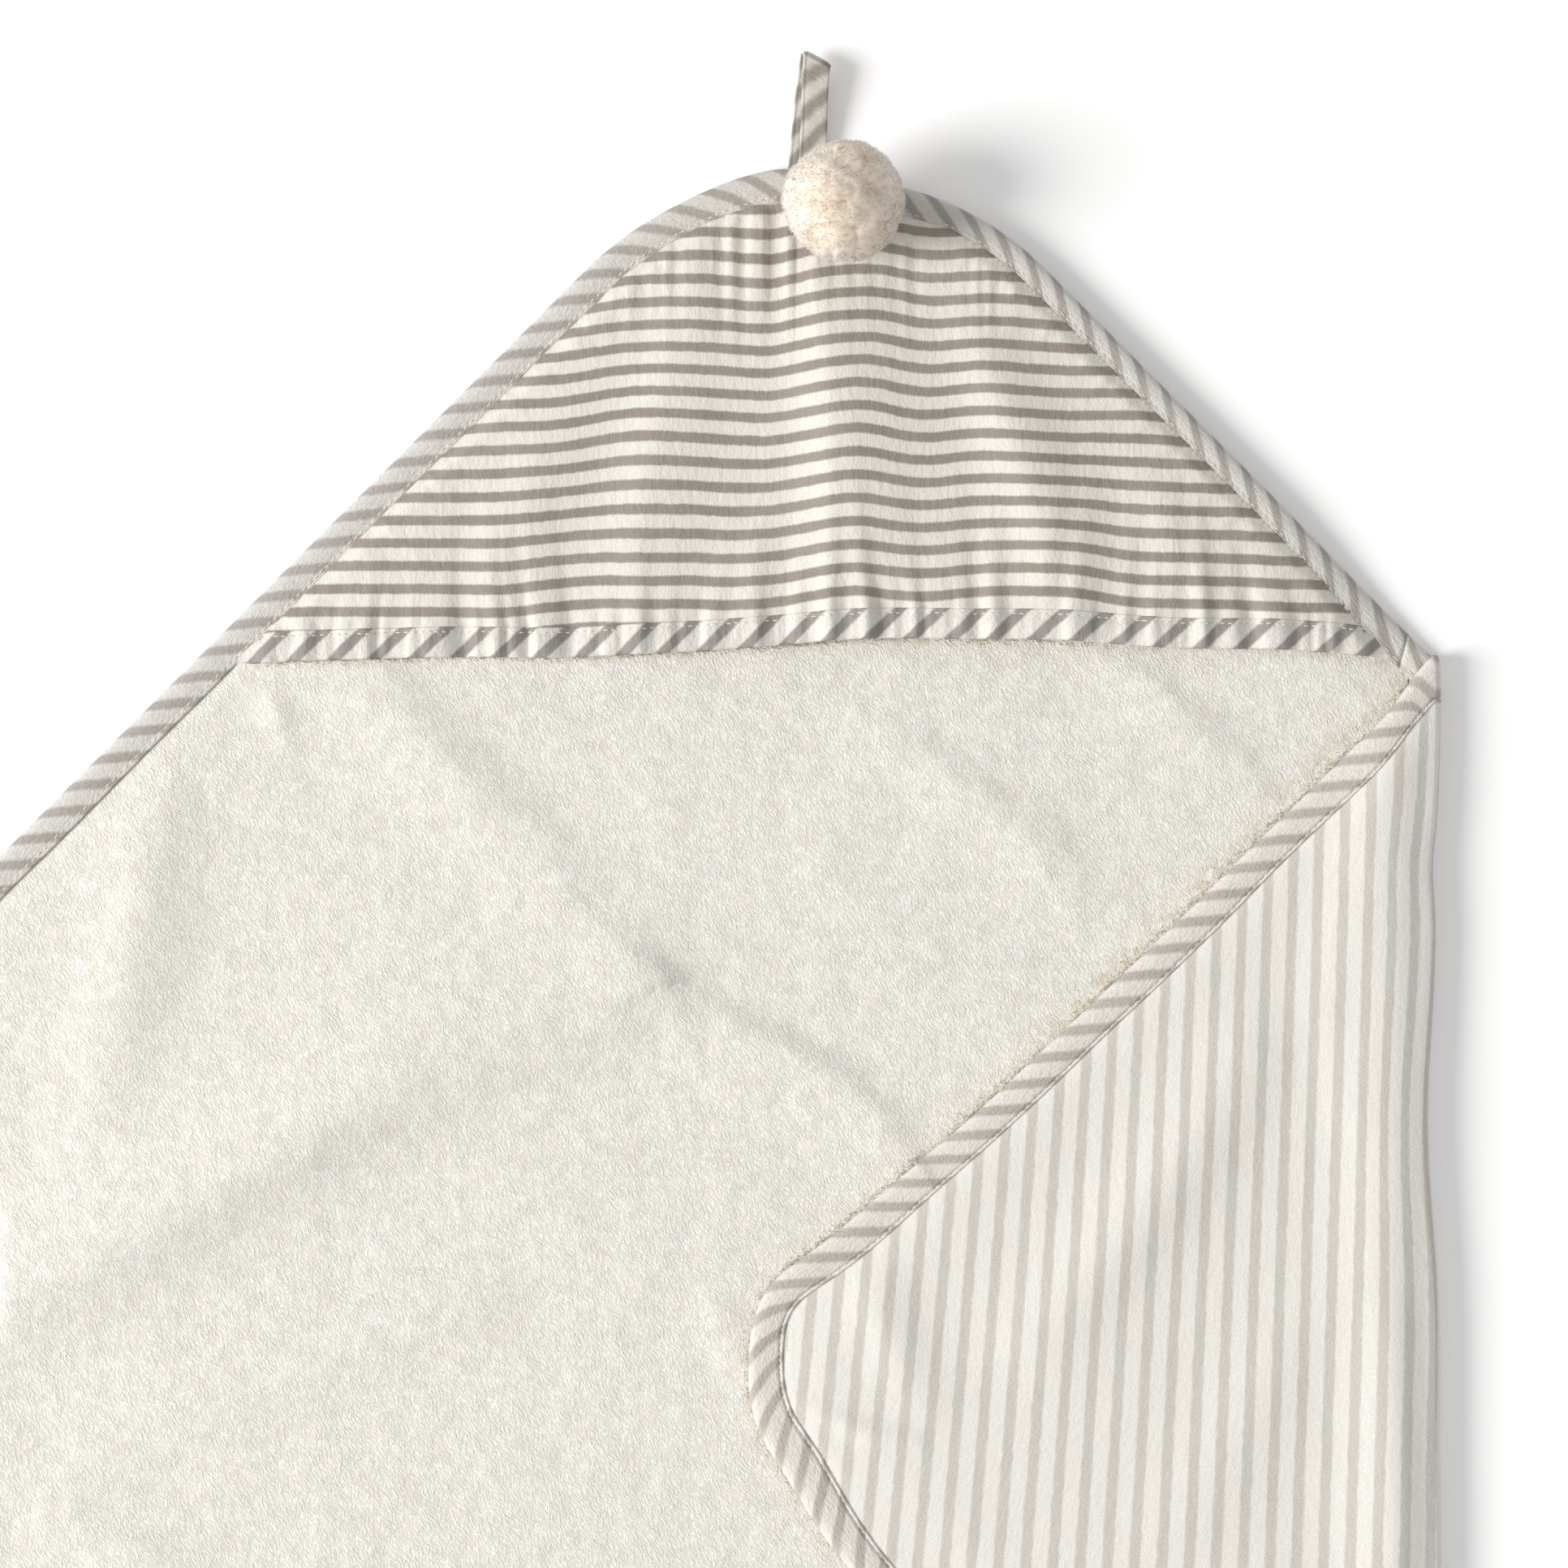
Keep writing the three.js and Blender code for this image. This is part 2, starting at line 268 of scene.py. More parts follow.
def drawn_up(x, y):
    """The apex is pulled up a little where the loop is sewn in."""
    near_edge = smooth((46 - edge_distance(x, y)) / 46)
    return 3.4 * bell((x + 16) / 30) * near_edge * smooth((y - 380) / 60)


# ---- soft relief of the cloth ----
# Each ridge: crest points, width to the left and right of its direction, height
RIDGES = [
    ([(-181, 282), (-142, 240), (-116, 216), (-102, 201)], 12, 22, 3.2),
    ([(-222, 276), (-215, 258)], 7, 6, 1.8),
    ([(-268, 236), (-274, 176), (-288, 110)], 18, 20, 4.4),
    ([(-345, 18), (-322, 32), (-264, 64), (-222, 88), (-172, 116), (-126, 134), (-88, 147)],
     34, 20, 9.6),
    ([(-73, 176), (-64, 160), (-52, 140)], 6, 16, 1.7),
    ([(-60, 160), (-46, 148), (-18, 134), (16, 114), (36, 92)], 6, 20, 2.7),
    ([(-290, -30), (-230, -10), (-139, 22)], 16, 14, 2.2),
    ([(-45, 30), (-31, 8), (-28, -4)], 8, 7, 1.5),
    ([(28, 262), (58, 240), (88, 210)], 8, 16, 1.7),
    ([(84, 226), (96, 214), (104, 196)], 8, 14, 2.0),
    ([(126, 284), (150, 264), (178, 242)], 7, 14, 2.0),
    ([(-70, 244), (-60, 226)], 9, 8, 0.9),
    ([(0, 214), (10, 196)], 12, 9, 1.0),
    ([(-150, -150), (-60, -190), (40, -215)], 22, 16, 3.0),
    ([(-300, -60), (-240, -110), (-200, -170)], 18, 16, 2.6),
    ([(20, -330), (60, -380), (70, -430)], 18, 14, 2.4),
    ([(-420, 20), (-390, -10), (-352, -30)], 16, 14, 2.2),
]
FLAP_RIDGES = [
    ([(172, 126), (152, 92), (122, 54), (92, 16)], 18, 18, 3.7),
    ([(198, 26), (172, -22), (150, -60)], 18, 18, 1.7),
    ([(216, 210), (206, 150), (214, 104)], 13, 11, 1.4),
    ([(-14, -6), (2, -16), (22, -24), (40, -26)], 4, 4.5, 1.4),
    ([(-10, -14), (4, -30), (16, -44)], 4, 4, 1.0),
    ([(18, 44), (28, 20), (40, -8)], 13, 10, 2.0),
    ([(34, 62), (66, 94), (98, 124)], 8, 13, 1.5),
    ([(180, -90), (120, -150), (100, -170)], 18, 16, 1.8),
    ([(232, 20), (236, -60), (228, -140)], 10, 9, 1.2),
]
HOOD_RIDGES = [
    ([(4, 456), (8, 400), (10, 350), (6, 304)], 30, 13, 6.6),
    ([(-52, 436), (-60, 390), (-70, 340), (-68, 304)], 24, 13, 3.4),
    ([(66, 424), (76, 390), (92, 345), (100, 304)], 18, 12, 4.6),
    ([(-104, 396), (-120, 350), (-132, 306)], 18, 14, 2.4),
    ([(132, 370), (148, 338), (158, 306)], 14, 11, 2.6),
    ([(-164, 338), (-182, 306)], 12, 10, 1.5),
    ([(176, 326), (188, 306)], 9, 8, 1.2),
    ([(-26, 336), (-28, 304)], 7, 6, 1.0),
]


def ridge_height(x, y, ridges):
    """Sum of ridges, each highest halfway along its crest."""
    out = np.zeros_like(np.asarray(x, float))
    for crest, left_width, right_width, height in ridges:
        nearest = np.full_like(out, 1e9)
        side = np.zeros_like(out)
        share = np.zeros_like(out)
        crest = np.array(crest, float)
        lengths = np.hypot(*np.diff(crest, axis=0).T)
        total, run = lengths.sum(), 0.0
        for (x0, y0), (x1, y1), length in zip(crest[:-1], crest[1:], lengths):
            step_x, step_y = (x1 - x0) / length, (y1 - y0) / length
            along = np.clip((x - x0) * step_x + (y - y0) * step_y, 0, length)
            off_x, off_y = x - (x0 + step_x * along), y - (y0 + step_y * along)
            distance = np.hypot(off_x, off_y)
            closer = distance < nearest
            nearest = np.where(closer, distance, nearest)
            side = np.where(closer, step_x * off_y - step_y * off_x, side)
            share = np.where(closer, (run + along) / total, share)
            run += length
        width = np.where(side > 0, left_width, right_width)
        out += height * (0.55 + 0.45 * np.sin(np.pi * share)) * bell(nearest / width)
    return out


def flap_edge_distance(x, y):
    """Distance inside the folded-over corner, seen from above."""
    return np.where(x <= FOLD_X + 8, edge_distance(2 * FOLD_X - x, y), -1e3)


def relief_raw(x, y):
    height = ridge_height(x, y, RIDGES)
    height = height + 0.55 * clouds(x, y, 46, 2, 3) + 0.3 * clouds(x, y, 17, 2, 9)
    return height * smooth((edge_distance(x, y) - 12) / 22)


def field_relief(x, y):
    """The field lies flat under the hood and under the folded corner."""
    height = relief_raw(x, y) * (1 - smooth((y - (HEM_Y - 2)) / 12))
    return height * (1 - smooth((flap_edge_distance(x, y) - 3) / 10))


def flap_relief(x, y):
    """The folded corner rides over the field's folds, with its own and a puff by the fold."""
    inset = flap_edge_distance(x, y)
    under = np.maximum(relief_raw(x, y), 0) * (1 - smooth(inset / 45)) * 0.85
    own = ridge_height(x, y, FLAP_RIDGES) + 0.35 * clouds(x, y, 60, 2, 21) + 0.35
    own = own * smooth(inset / 26) * smooth((FOLD_X + 6 - x) / 26 + 0.25)
    puff = 1.1 * smooth(inset / 30) * smooth((FOLD_X - x) / 16)
    hump = 3.4 * bell((FOLD_X - 20 - x) / 17) * smooth((inset + 4) / 30)
    return under + own + (puff + hump)


# ---- from flat cloth to the folded towel ----
def fold_edge_wave(y):
    """How far the fold's edge strays in x."""
    return (-4.2 * bell((y - 112) / 62) - 1.6 * bell((y - 204) / 16) + 1.0 * bell((y + 40) / 60)
            + 0.5 * np.sin(y / 19.0) - 2.2 * bell((y + 170) / 55))


def fold_over(x, y, height):
    """Flat cloth to its place at rest, and its share of the right corner's motion.

    x past the right fold includes the rolled cloth; height is above the underside.
    """
    x, y, height = np.broadcast_arrays(x, y, height)
    on_field, past_roll = x <= FOLD_X, x >= FOLD_X + ROLL
    angle = np.clip((x - FOLD_X) / ROLL, 0, 1) * math.pi
    radius = FOLD_Z - height
    wave = fold_edge_wave(y)
    round_x = FOLD_X + NOSE * radius * np.sin(angle)
    round_z = FOLD_Z - radius * np.cos(angle)
    rest_x = np.where(on_field, x, np.where(past_roll, 2 * FOLD_X + ROLL - x, round_x))
    rest_z = np.where(on_field, height, np.where(past_roll, 2 * FOLD_Z - height, round_z))
    # where the fold's edge is drawn in, the roll opens at its middle, to lie flat when turned back
    turn = angle / math.pi
    share = turn + smooth((-wave - 0.1) / 1.6) * (np.where(turn > 0.5, 1.0, 0.0) - turn)
    # cloth beside the fold lags a little and so keeps a soft hump there when turned back
    past = np.maximum(x - FOLD_X - ROLL, 0)
    share = share * (1 - 0.032 * bell(past / 110) - 0.08 * bell(past / 28))
    # waves of the fold's edge reach a little way into both layers
    rest_x = rest_x + wave * bell((rest_x - FOLD_X) / 70) * (rest_x > FOLD_X - 200)
    rest_z = rest_z + np.where(on_field, edge_lift(x, y), 0.0)
    raised_y = np.where(on_field, drawn_up(x, y), 0.0)
    # the corner's tip is drawn a little towards the hood and to the left
    on_flap = smooth((x - FOLD_X - ROLL) / 30)
    tip = bell((rest_x + 10) / 75)
    tip_y = 6.5 * tip * smooth((y + 110) / 120) * smooth((120 - y) / 60)
    rest_y = y + raised_y + on_flap * tip_y
    rest_x = rest_x - on_flap * 6.0 * bell((rest_x + 18) / 34) * bell((y - 6) / 40)
    rest_x = rest_x - on_flap * 3.6 * bell((rest_x + 6) / 20) * bell((y - 26) / 20)
    # below its tip the flap hangs out a little further
    low = smooth((8 - y) / 92) * smooth((y + 285) / 150)
    rest_x = rest_x - 25.0 * low * smooth((FOLD_X - rest_x) / 150) * on_flap
    # its upper edge is drawn to the right
    near_edge = smooth((60 - edge_distance(2 * FOLD_X - rest_x, y)) / 60)
    rest_x = rest_x + on_flap * 5.5 * smooth((y - 60) / 150) * near_edge
    lifted = smooth((x - FOLD_X - 0.42 * ROLL) / (0.58 * ROLL))
    rest_z = rest_z + flap_relief(rest_x, rest_y) * lifted
    return rest_x, rest_y, rest_z, share


# ---- meshes ----
def add_floats(piece, key, values):
    attribute = piece.data.attributes.new(key, "FLOAT", "POINT")
    attribute.data.foreach_set("value", np.asarray(values, np.float32))


def read_vectors(piece, key):
    values = np.zeros(len(piece.data.vertices) * 3, np.float32)
    piece.data.attributes[key].data.foreach_get("vector", values)
    return values.reshape(-1, 3).astype(float)


def make_object(name, verts, faces, uvw):
    """A smooth-shaded object from vertices in mm, with its flat-cloth coordinates in uvw."""
    mesh = bpy.data.meshes.new(name)
    verts = np.asarray(verts, float) * 0.001
    mesh.from_pydata(verts.tolist(), [], [tuple(int(i) for i in face) for face in faces])
    attribute = mesh.attributes.new("uvw", "FLOAT_VECTOR", "POINT")
    attribute.data.foreach_set("vector", np.asarray(uvw, np.float32).ravel())
    mesh.polygons.foreach_set("use_smooth", [True] * len(mesh.polygons))
    mesh.update()
    piece = bpy.data.objects.new(name, mesh)
    bpy.context.scene.collection.objects.link(piece)
    return piece


def crisp_rim(piece):
    """Keep a sheet's cut sides out of its shading, so joined sheets meet without a line."""
    piece.data.set_sharp_from_angle(angle=math.radians(58))
    return piece


def bend(piece, joint, weights=None):
    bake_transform(piece, "towel", joint, **BENDS[joint])
    if weights is not None:
        shares = piece.data.attributes["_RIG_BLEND"]
        shares.data.foreach_set("value", np.asarray(weights, np.float32))


def turned_share(past, rise):
    """Share of a flat corner's turn, past mm beyond its fold line.

    It lags a little, so the turned cloth rides rise mm higher, over the folds it then lies on.
    """
    lag = rise / math.pi * smooth(past / 35) / np.maximum(past, 12)
    return np.clip((past + 6) / 12, 0, 1) * (1 - lag)


def corner_weights(piece, joint):
    at = read_vectors(piece, "position") * 1000
    if joint == "left_corner":
        return turned_share(LEFT_X - at[:, 0], rise=9.0)
    return turned_share(BOTTOM_Y - at[:, 1], rise=5.5)


def boundary(quads):
    """Edge loops of an open quad mesh, each in the faces' own direction."""
    edges = {}
    for quad in quads.tolist():
        for a, b in zip(quad, quad[1:] + quad[:1]):
            if (b, a) in edges:
                del edges[(b, a)]
            else:
                edges[(a, b)] = True
    follow = {}
    for a, b in edges:
        follow.setdefault(a, []).append(b)
    loops = []
    while follow:
        start = next(iter(follow))
        loop, here = [], start
        while here in follow:
            loop.append(here)
            following = follow[here].pop()
            if not follow[here]:
                del follow[here]
            here = following
            if here == start:
                break
        loops.append(np.array(loop))
    return loops


def grid_cells(xs, ys, inset_at, step, least):
    """Grid quads whose middle has an inset above least: x, y, quads, edge loops, rim points."""
    grid_x, grid_y = np.meshgrid(xs, ys)
    inset = inset_at(grid_x, grid_y).ravel()
    middle = inset_at((grid_x[:-1, :-1] + grid_x[1:, 1:]) / 2,
                      (grid_y[:-1, :-1] + grid_y[1:, 1:]) / 2)
    index = np.arange(grid_x.size).reshape(grid_x.shape)
    corners = [index[:-1, :-1], index[:-1, 1:], index[1:, 1:], index[1:, :-1]]
    lowest = np.minimum.reduce([inset[corner] for corner in corners])
    keep = (middle > least) & (lowest > -0.75 * step)
    quads = np.stack([corner[keep] for corner in corners], 1)
    used, renumbered = np.unique(quads, return_inverse=True)
    quads = renumbered.reshape(quads.shape)
    loops = boundary(quads)
    rim = np.unique(np.concatenate(loops))
    return grid_x.ravel()[used], grid_y.ravel()[used], quads, loops, rim


def inset_slope(inset_at, x, y):
    """Gradient of an inset function, and its squared length kept off zero."""
    reach = 0.05
    slope_x = (inset_at(x + reach, y) - inset_at(x - reach, y)) / (2 * reach)
    slope_y = (inset_at(x, y + reach) - inset_at(x, y - reach)) / (2 * reach)
    return slope_x, slope_y, np.maximum(slope_x**2 + slope_y**2, 0.2)


def lattice(x0, x1, y0, y1, step, inset_at):
    """Quads over the part of a box with an inset above 0, the free edge pulled onto 0."""
    xs = np.linspace(x0, x1, int(round((x1 - x0) / step)) + 1)
    ys = np.linspace(y0, y1, int(round((y1 - y0) / step)) + 1)
    x, y, quads, loops, rim = grid_cells(xs, ys, inset_at, step, least=0.02 * step)
    rim_x, rim_y = x[rim], y[rim]
    on_box = (np.isclose(rim_x, x0) | np.isclose(rim_x, x1)
              | np.isclose(rim_y, y0) | np.isclose(rim_y, y1))
    free = rim[~(on_box & (inset_at(rim_x, rim_y) > 0.6 * step))]
    for _ in range(6):
        inset = inset_at(x[free], y[free])
        slope_x, slope_y, squared = inset_slope(inset_at, x[free], y[free])
        x[free] = np.clip(x[free] - inset * slope_x / squared, x0, x1)
        y[free] = np.clip(y[free] - inset * slope_y / squared, y0, y1)
    return x, y, quads, loops


def sheet(name, cells, upper, lower, upper_uvw=5.0):
    """A closed sheet: its upper vertices, then as many lower ones."""
    x, y, quads, loops = cells
    count = len(x)
    faces = quads.tolist() + (quads[:, ::-1] + count).tolist()
    for loop in loops:
        faces += [[a, a + count, b + count, b] for a, b in zip(loop, np.roll(loop, -1))]
    uvw = np.concatenate([points(x, y, upper_uvw), points(x, y, 0.0)])
    return make_object(name, np.concatenate([upper, lower]), faces, uvw)


def sweep(rings, sides):
    """Faces joining equal rings of points into a tube with closed ends."""
    faces = []
    for i in range(rings - 1):
        a, b = i * sides, (i + 1) * sides
        for k in range(sides):
            after = (k + 1) % sides
            faces.append([a + k, a + after, b + after, b + k])
    faces.append(list(range(sides))[::-1])
    faces.append([(rings - 1) * sides + k for k in range(sides)])
    return faces


def swept_object(name, rings, uvw):
    return make_object(name, rings.reshape(-1, 3), sweep(*rings.shape[:2]), uvw.reshape(-1, 3))


def tube(path, radius, sides, up=(0, 0, 1)):
    """A round tube along a path of points, with closed ends."""
    path = np.asarray(path, float)
    tangent = unit(np.gradient(path, axis=0))
    side = unit(np.cross(tangent, np.array(up, float)))[:, None, :]
    normal = np.cross(side[:, 0], tangent)[:, None, :]
    radius = np.broadcast_to(radius, (len(path),))[:, None, None]
    angle = np.linspace(0, 2 * math.pi, sides, endpoint=False)[None, :, None]
    verts = path[:, None, :] + radius * (np.cos(angle) * side + np.sin(angle) * normal)
    return verts.reshape(-1, 3), sweep(len(path), sides)


class Parts:
    """Collects small closed parts into one mesh."""

    def __init__(self):
        self.verts, self.faces, self.uvw, self.weights = [], [], [], []
        self.count = 0

    def add(self, verts, faces, uvw=None, weights=0.0):
        self.verts.append(verts)
        self.faces += [[i + self.count for i in face] for face in faces]
        self.uvw.append(verts if uvw is None else uvw)
        self.weights.append(np.broadcast_to(weights, (len(verts),)))
        self.count += len(verts)

    def make(self, name):
        verts, uvw = np.concatenate(self.verts), np.concatenate(self.uvw)
        return make_object(name, verts, self.faces, uvw), np.concatenate(self.weights)


# ---- panels ----
def calm_folds(x, y):
    """Relief dies away at the flat corners' fold lines, so that they can fold."""
    beside_left = smooth((abs(x - LEFT_X) - 5) / 22)
    beside_bottom = smooth((abs(y - BOTTOM_Y) - 5) / 22)
    return 0.1 + 0.9 * beside_left * beside_bottom


def terry_base(inset):
    """Height of the pile, pressed down under the binding."""
    return 3.9 + 0.95 * smooth((inset - 11.5) / 7)


def terry_top(x, y):
    inset = edge_distance(x, y)
    under_hood = smooth((y - (HEM_Y + 1)) / 7)
    z = terry_base(inset) - 0.75 * under_hood * smooth((40 - inset) / 25) - 0.25 * under_hood
    pile = 0.22 * clouds(x, y, 7.5, 2, 31) + 0.2 * noise(x / 2.7, y / 3.6, 37)
    z = z + pile * smooth((inset - 10) / 6)
    return z + field_relief(x, y) * calm_folds(x, y)


def backing_under(inset):
    """Underside of the backing, raised where the binding wraps beneath it."""
    return 0.34 + 0.55 * (1 - smooth((inset - 12.6) / 2.2))


def field_lattice(step, edge_inset):
    return lattice(LEFT_X + SEAM, FOLD_X - SEAM, BOTTOM_Y + SEAM, 500, step,
                   lambda x, y: edge_distance(x, y) - edge_inset)


def edge_shade_mask(x, y):
    """How much painted shade the pile takes along the folded corner's edge and at the hood's hem."""
    flap = flap_edge_distance(x, y)
    near_flap = bell(np.minimum(flap + 1.0, 0) / 3.0) * bell(np.maximum(flap - 0.5, 0) / 2.5)
    near_flap = near_flap * (0.35 + 0.65 * smooth((y - 40) / 140))
    above_hem = y - hem_line(x)
    near_hem = bell(np.maximum(-above_hem, 0) / 2.6) * bell(np.maximum(above_hem - 1.0, 0) / 4.0)
    return np.maximum(near_flap, near_hem * 0.8)


def terry_field():
    x, y, quads, loops = field_lattice(step=2.5, edge_inset=TERRY_INSET)
    count = len(x)
    lift, raised_y = edge_lift(x, y), y + drawn_up(x, y)
    rim = loops[0]
    rim_count = len(rim)
    verts = np.concatenate([points(x, raised_y, terry_top(x, y) + lift),
                            points(x[rim], raised_y[rim], TERRY_UNDER + lift[rim])])
    uvw = np.concatenate([points(x, y, 5.0), points(x[rim], y[rim], 1.5)])
    faces = quads.tolist()
    for i in range(rim_count):
        after = (i + 1) % rim_count
        faces.append([rim[i], count + i, count + after, rim[after]])
    # the underside is hidden by the backing, so one flat face closes it
    faces.append(list(range(count, count + rim_count))[::-1])
    piece = make_object("terry_towelling", verts, faces, uvw)
    # painted shade along the folded corner's edge and at the hood's hem, for the terry's colour
    add_floats(piece, "painted_shade", np.r_[edge_shade_mask(x, y), np.zeros(rim_count)])
    return crisp_rim(piece)


def backing_field():
    cells = field_lattice(step=6.0, edge_inset=BACKING_INSET)
    x, y = cells[:2]
    lift, raised_y = edge_lift(x, y), y + drawn_up(x, y)
    upper = points(x, raised_y, BACKING_TOP + lift)
    lower = points(x, raised_y, backing_under(edge_distance(x, y)) + lift)
    return crisp_rim(sheet("striped_backing", cells, upper, lower, upper_uvw=BACKING_TOP))


def flat_corner(name, joint, terry):
    """Terry or backing of a corner that lies flat and can fold."""
    edge_inset, step = (TERRY_INSET, 3.0) if terry else (BACKING_INSET, 4.0)
    if joint == "left_corner":
        box = (-HALF, LEFT_X + SEAM, -260, 260)
    else:
        box = (-260, 260, -HALF, BOTTOM_Y + SEAM)
    cells = lattice(*box, step, lambda x, y: edge_distance(x, y) - edge_inset)
    x, y = cells[:2]
    if terry:
        high, low = terry_top(x, y), TERRY_UNDER
    else:
        high, low = BACKING_TOP, backing_under(edge_distance(x, y))
    piece = crisp_rim(sheet(name, cells, points(x, y, high), points(x, y, low)))
    bend(piece, joint, corner_weights(piece, joint))
    return piece


def folded_lattice(step, edge_inset):
    """Quads over the right corner's flat cloth, with extra length for the roll."""
    roll_end, far = FOLD_X + ROLL, HALF + ROLL
    xs = np.r_[np.linspace(FOLD_X - SEAM, FOLD_X, 5), np.linspace(FOLD_X, roll_end, 15)[1:],
               np.linspace(roll_end, far, int((far - FOLD_X - ROLL) / step))[1:]]
    ys = np.linspace(-310, 310, int(620 / step) + 1)

    def inset_at(x, y):
        return edge_distance(without_roll(x), y) - edge_inset

    x, y, quads, loops, rim = grid_cells(xs, ys, inset_at, step, least=0.02)
    in_roll = x[rim] <= roll_end + 1e-6
    inside_seam = np.isclose(x[rim], xs[0]) & (inset_at(x[rim], y[rim]) >= 0.8 * step)
    sliding = rim[in_roll & ~inside_seam]
    free = rim[~in_roll]
    # the rim slides straight in y on the roll, and along the gradient elsewhere
    for _ in range(8):
        inset = inset_at(x[sliding], y[sliding])
        slope_y = inset_slope(inset_at, x[sliding], y[sliding])[1]
        y[sliding] -= inset / np.where(abs(slope_y) < 0.3, 1e9, slope_y)
        inset = inset_at(x[free], y[free])
        slope_x, slope_y, squared = inset_slope(inset_at, x[free], y[free])
        x[free] = np.maximum(x[free] - inset * slope_x / squared, roll_end)
        y[free] -= inset * slope_y / squared
    return x, y, quads, loops


def without_roll(x):
    return np.where(x <= FOLD_X, x, np.where(x <= FOLD_X + ROLL, FOLD_X, x - ROLL))


def folded_corner(name, terry):
    """Terry or backing of the right corner, rolled over its fold line onto the field."""
    cells = folded_lattice(*((3.0, TERRY_INSET) if terry else (2.2, FOLDED_BACKING_INSET)))
    x, y = cells[:2]
    inset = edge_distance(without_roll(x), y)
    if terry:
        upper = np.minimum(terry_base(inset) + 0.15 * clouds(x, y, 7.5, 2, 31), 4.95)
        join = smooth((x - FOLD_X + SEAM) / SEAM)
        upper = terry_top(x, y) * (1 - join) + upper * join
        lower = TERRY_UNDER
    else:
        upper = BACKING_TOP
        inside = smooth((x - FOLD_X - ROLL) / 20) * smooth((inset - 13) / 6)
        lower = backing_under(inset) + 0.10 * clouds(x, y, 9, 2, 41) * inside
    *upper_at, upper_share = fold_over(x, y, upper)
    *lower_at, lower_share = fold_over(x, y, lower)
    piece = sheet(name, cells, points(*upper_at), points(*lower_at))
    bend(piece, "right_corner", np.r_[upper_share, lower_share])
    return crisp_rim(piece)


# ---- edge binding ----
# Cross-section of the tape: inset from the towel's edge, height; terry side first
PROFILE = np.array([
    (12.0, 4.25), (12.75, 4.35), (12.95, 4.8), (12.5, 5.14), (11.7, 5.2), (11.0, 4.94),
    (10.3, 5.12), (8.6, 5.36), (6.6, 5.45), (4.6, 5.34), (2.7, 5.0), (1.3, 4.4), (0.4, 3.5),
    (0.0, 2.5), (0.4, 1.4), (1.3, 0.62), (2.7, 0.16), (4.6, 0.03), (6.6, 0.0), (8.8, 0.0),
    (10.8, 0.02), (11.8, 0.14), (12.05, 0.66), (12.25, 0.7), (12.5, 0.16), (12.95, -0.08),
    (13.45, 0.14), (13.65, 0.7), (12.6, 1.0), (11.6, 0.75), (1.3, 0.8), (0.95, 2.5), (1.3, 4.2)])
PROFILE_ACROSS = np.r_[0, np.cumsum(np.hypot(*np.diff(PROFILE, axis=0).T))] - 1.4
NOSE_ACROSS = PROFILE_ACROSS[13]  # at the towel's very edge
ROLL_TURNS = np.arange(15) / 14  # rows through the roll, from field side to flap side


def rows_between(start, end):
    """Rows round the outline: arc length, and how far through the roll (-1 when not on it)."""
    arc = np.linspace(start, end, int((end - start) / 1.6) + 1)
    turn = np.full(len(arc), -1.0)
    for crossing, turns in ((RIGHT_LOWER_FOLD, ROLL_TURNS), (RIGHT_UPPER_FOLD, ROLL_TURNS[::-1])):
        if start < crossing < end:
            before, after = arc < crossing - 0.2, arc > crossing + 0.2
            arc = np.r_[arc[before], np.full(len(turns), crossing), arc[after]]
            turn = np.r_[turn[before], turns, turn[after]]
    return arc, turn


def edge_rows(arc, inset, height, turn=-1.0):
    """Places rows of points at an inset and height. Returns positions and weights."""
    at, normal = outline_at(arc)
    turn = np.broadcast_to(turn, (len(arc),))[:, None]
    edge_x, edge_y = at[:, :1], at[:, 1:]
    # at the fold the strip runs straight in y, so that its rows share one x
    near = smooth(1 - abs(edge_x - FOLD_X) / 20.0) * (edge_x > 100)
    inset = inset * (1 - 0.24 * rolled(edge_x, edge_y))
    x = edge_x + normal[:, :1] * inset * (1 - near)
    y = (edge_y + normal[:, 1:] * inset * (1 - near)
         + near * np.sign(normal[:, 1:]) * ROOT2 * inset)
    beyond = (edge_x > FOLD_X) & (turn < 0)
    x = np.where(beyond, np.maximum(x + ROLL, FOLD_X + ROLL), x)
    x = np.where(turn >= 0, FOLD_X + turn * ROLL, x)
    *rest, share = fold_over(x, y, height)
    return points(*rest), share


def binding_piece(name, start, end):
    arc, turn = rows_between(start, end)
    profile_inset, profile_height = PROFILE.T
    inset = np.tile(profile_inset, (len(arc), 1))
    height = np.tile(profile_height, (len(arc), 1))
    # little puckers between the stitches and a slow waver of the strip's free edge
    front = (profile_height > 3) & (profile_inset > 1.0)
    across = profile_inset[front]
    height[:, front] += (
        np.outer(0.14 * noise(arc / 3.4, 0, 5), bell((across - 9.5) / 3.0))
        + np.outer(0.20 * noise(arc / 11.0, 3, 6), bell((across - 6.0) / 4.0)))
    inset[:, profile_inset > 9] += 0.35 * noise(arc / 28.0, 7, 8)[:, None]
    # on the folded corner the side against the backing is fuller
    on_flap = smooth((outline_at(arc)[0][:, :1] - FOLD_X) / 25)
    back = (profile_height < 1.2) & (profile_inset > 1.0) & (profile_inset < 12.2)
    across = profile_inset[back]
    fullness = (0.35 * bell((across - 6.5) / 3.6)
                + np.outer(0.16 * noise(arc / 9.0, 1, 15), bell((across - 8) / 4)))
    height[:, back] -= fullness * on_flap
    rings, share = edge_rows(arc, inset, height, turn)
    uvw = points(arc[:, None], PROFILE_ACROSS, profile_inset)
    return swept_object(name, rings, uvw), share.reshape(-1)


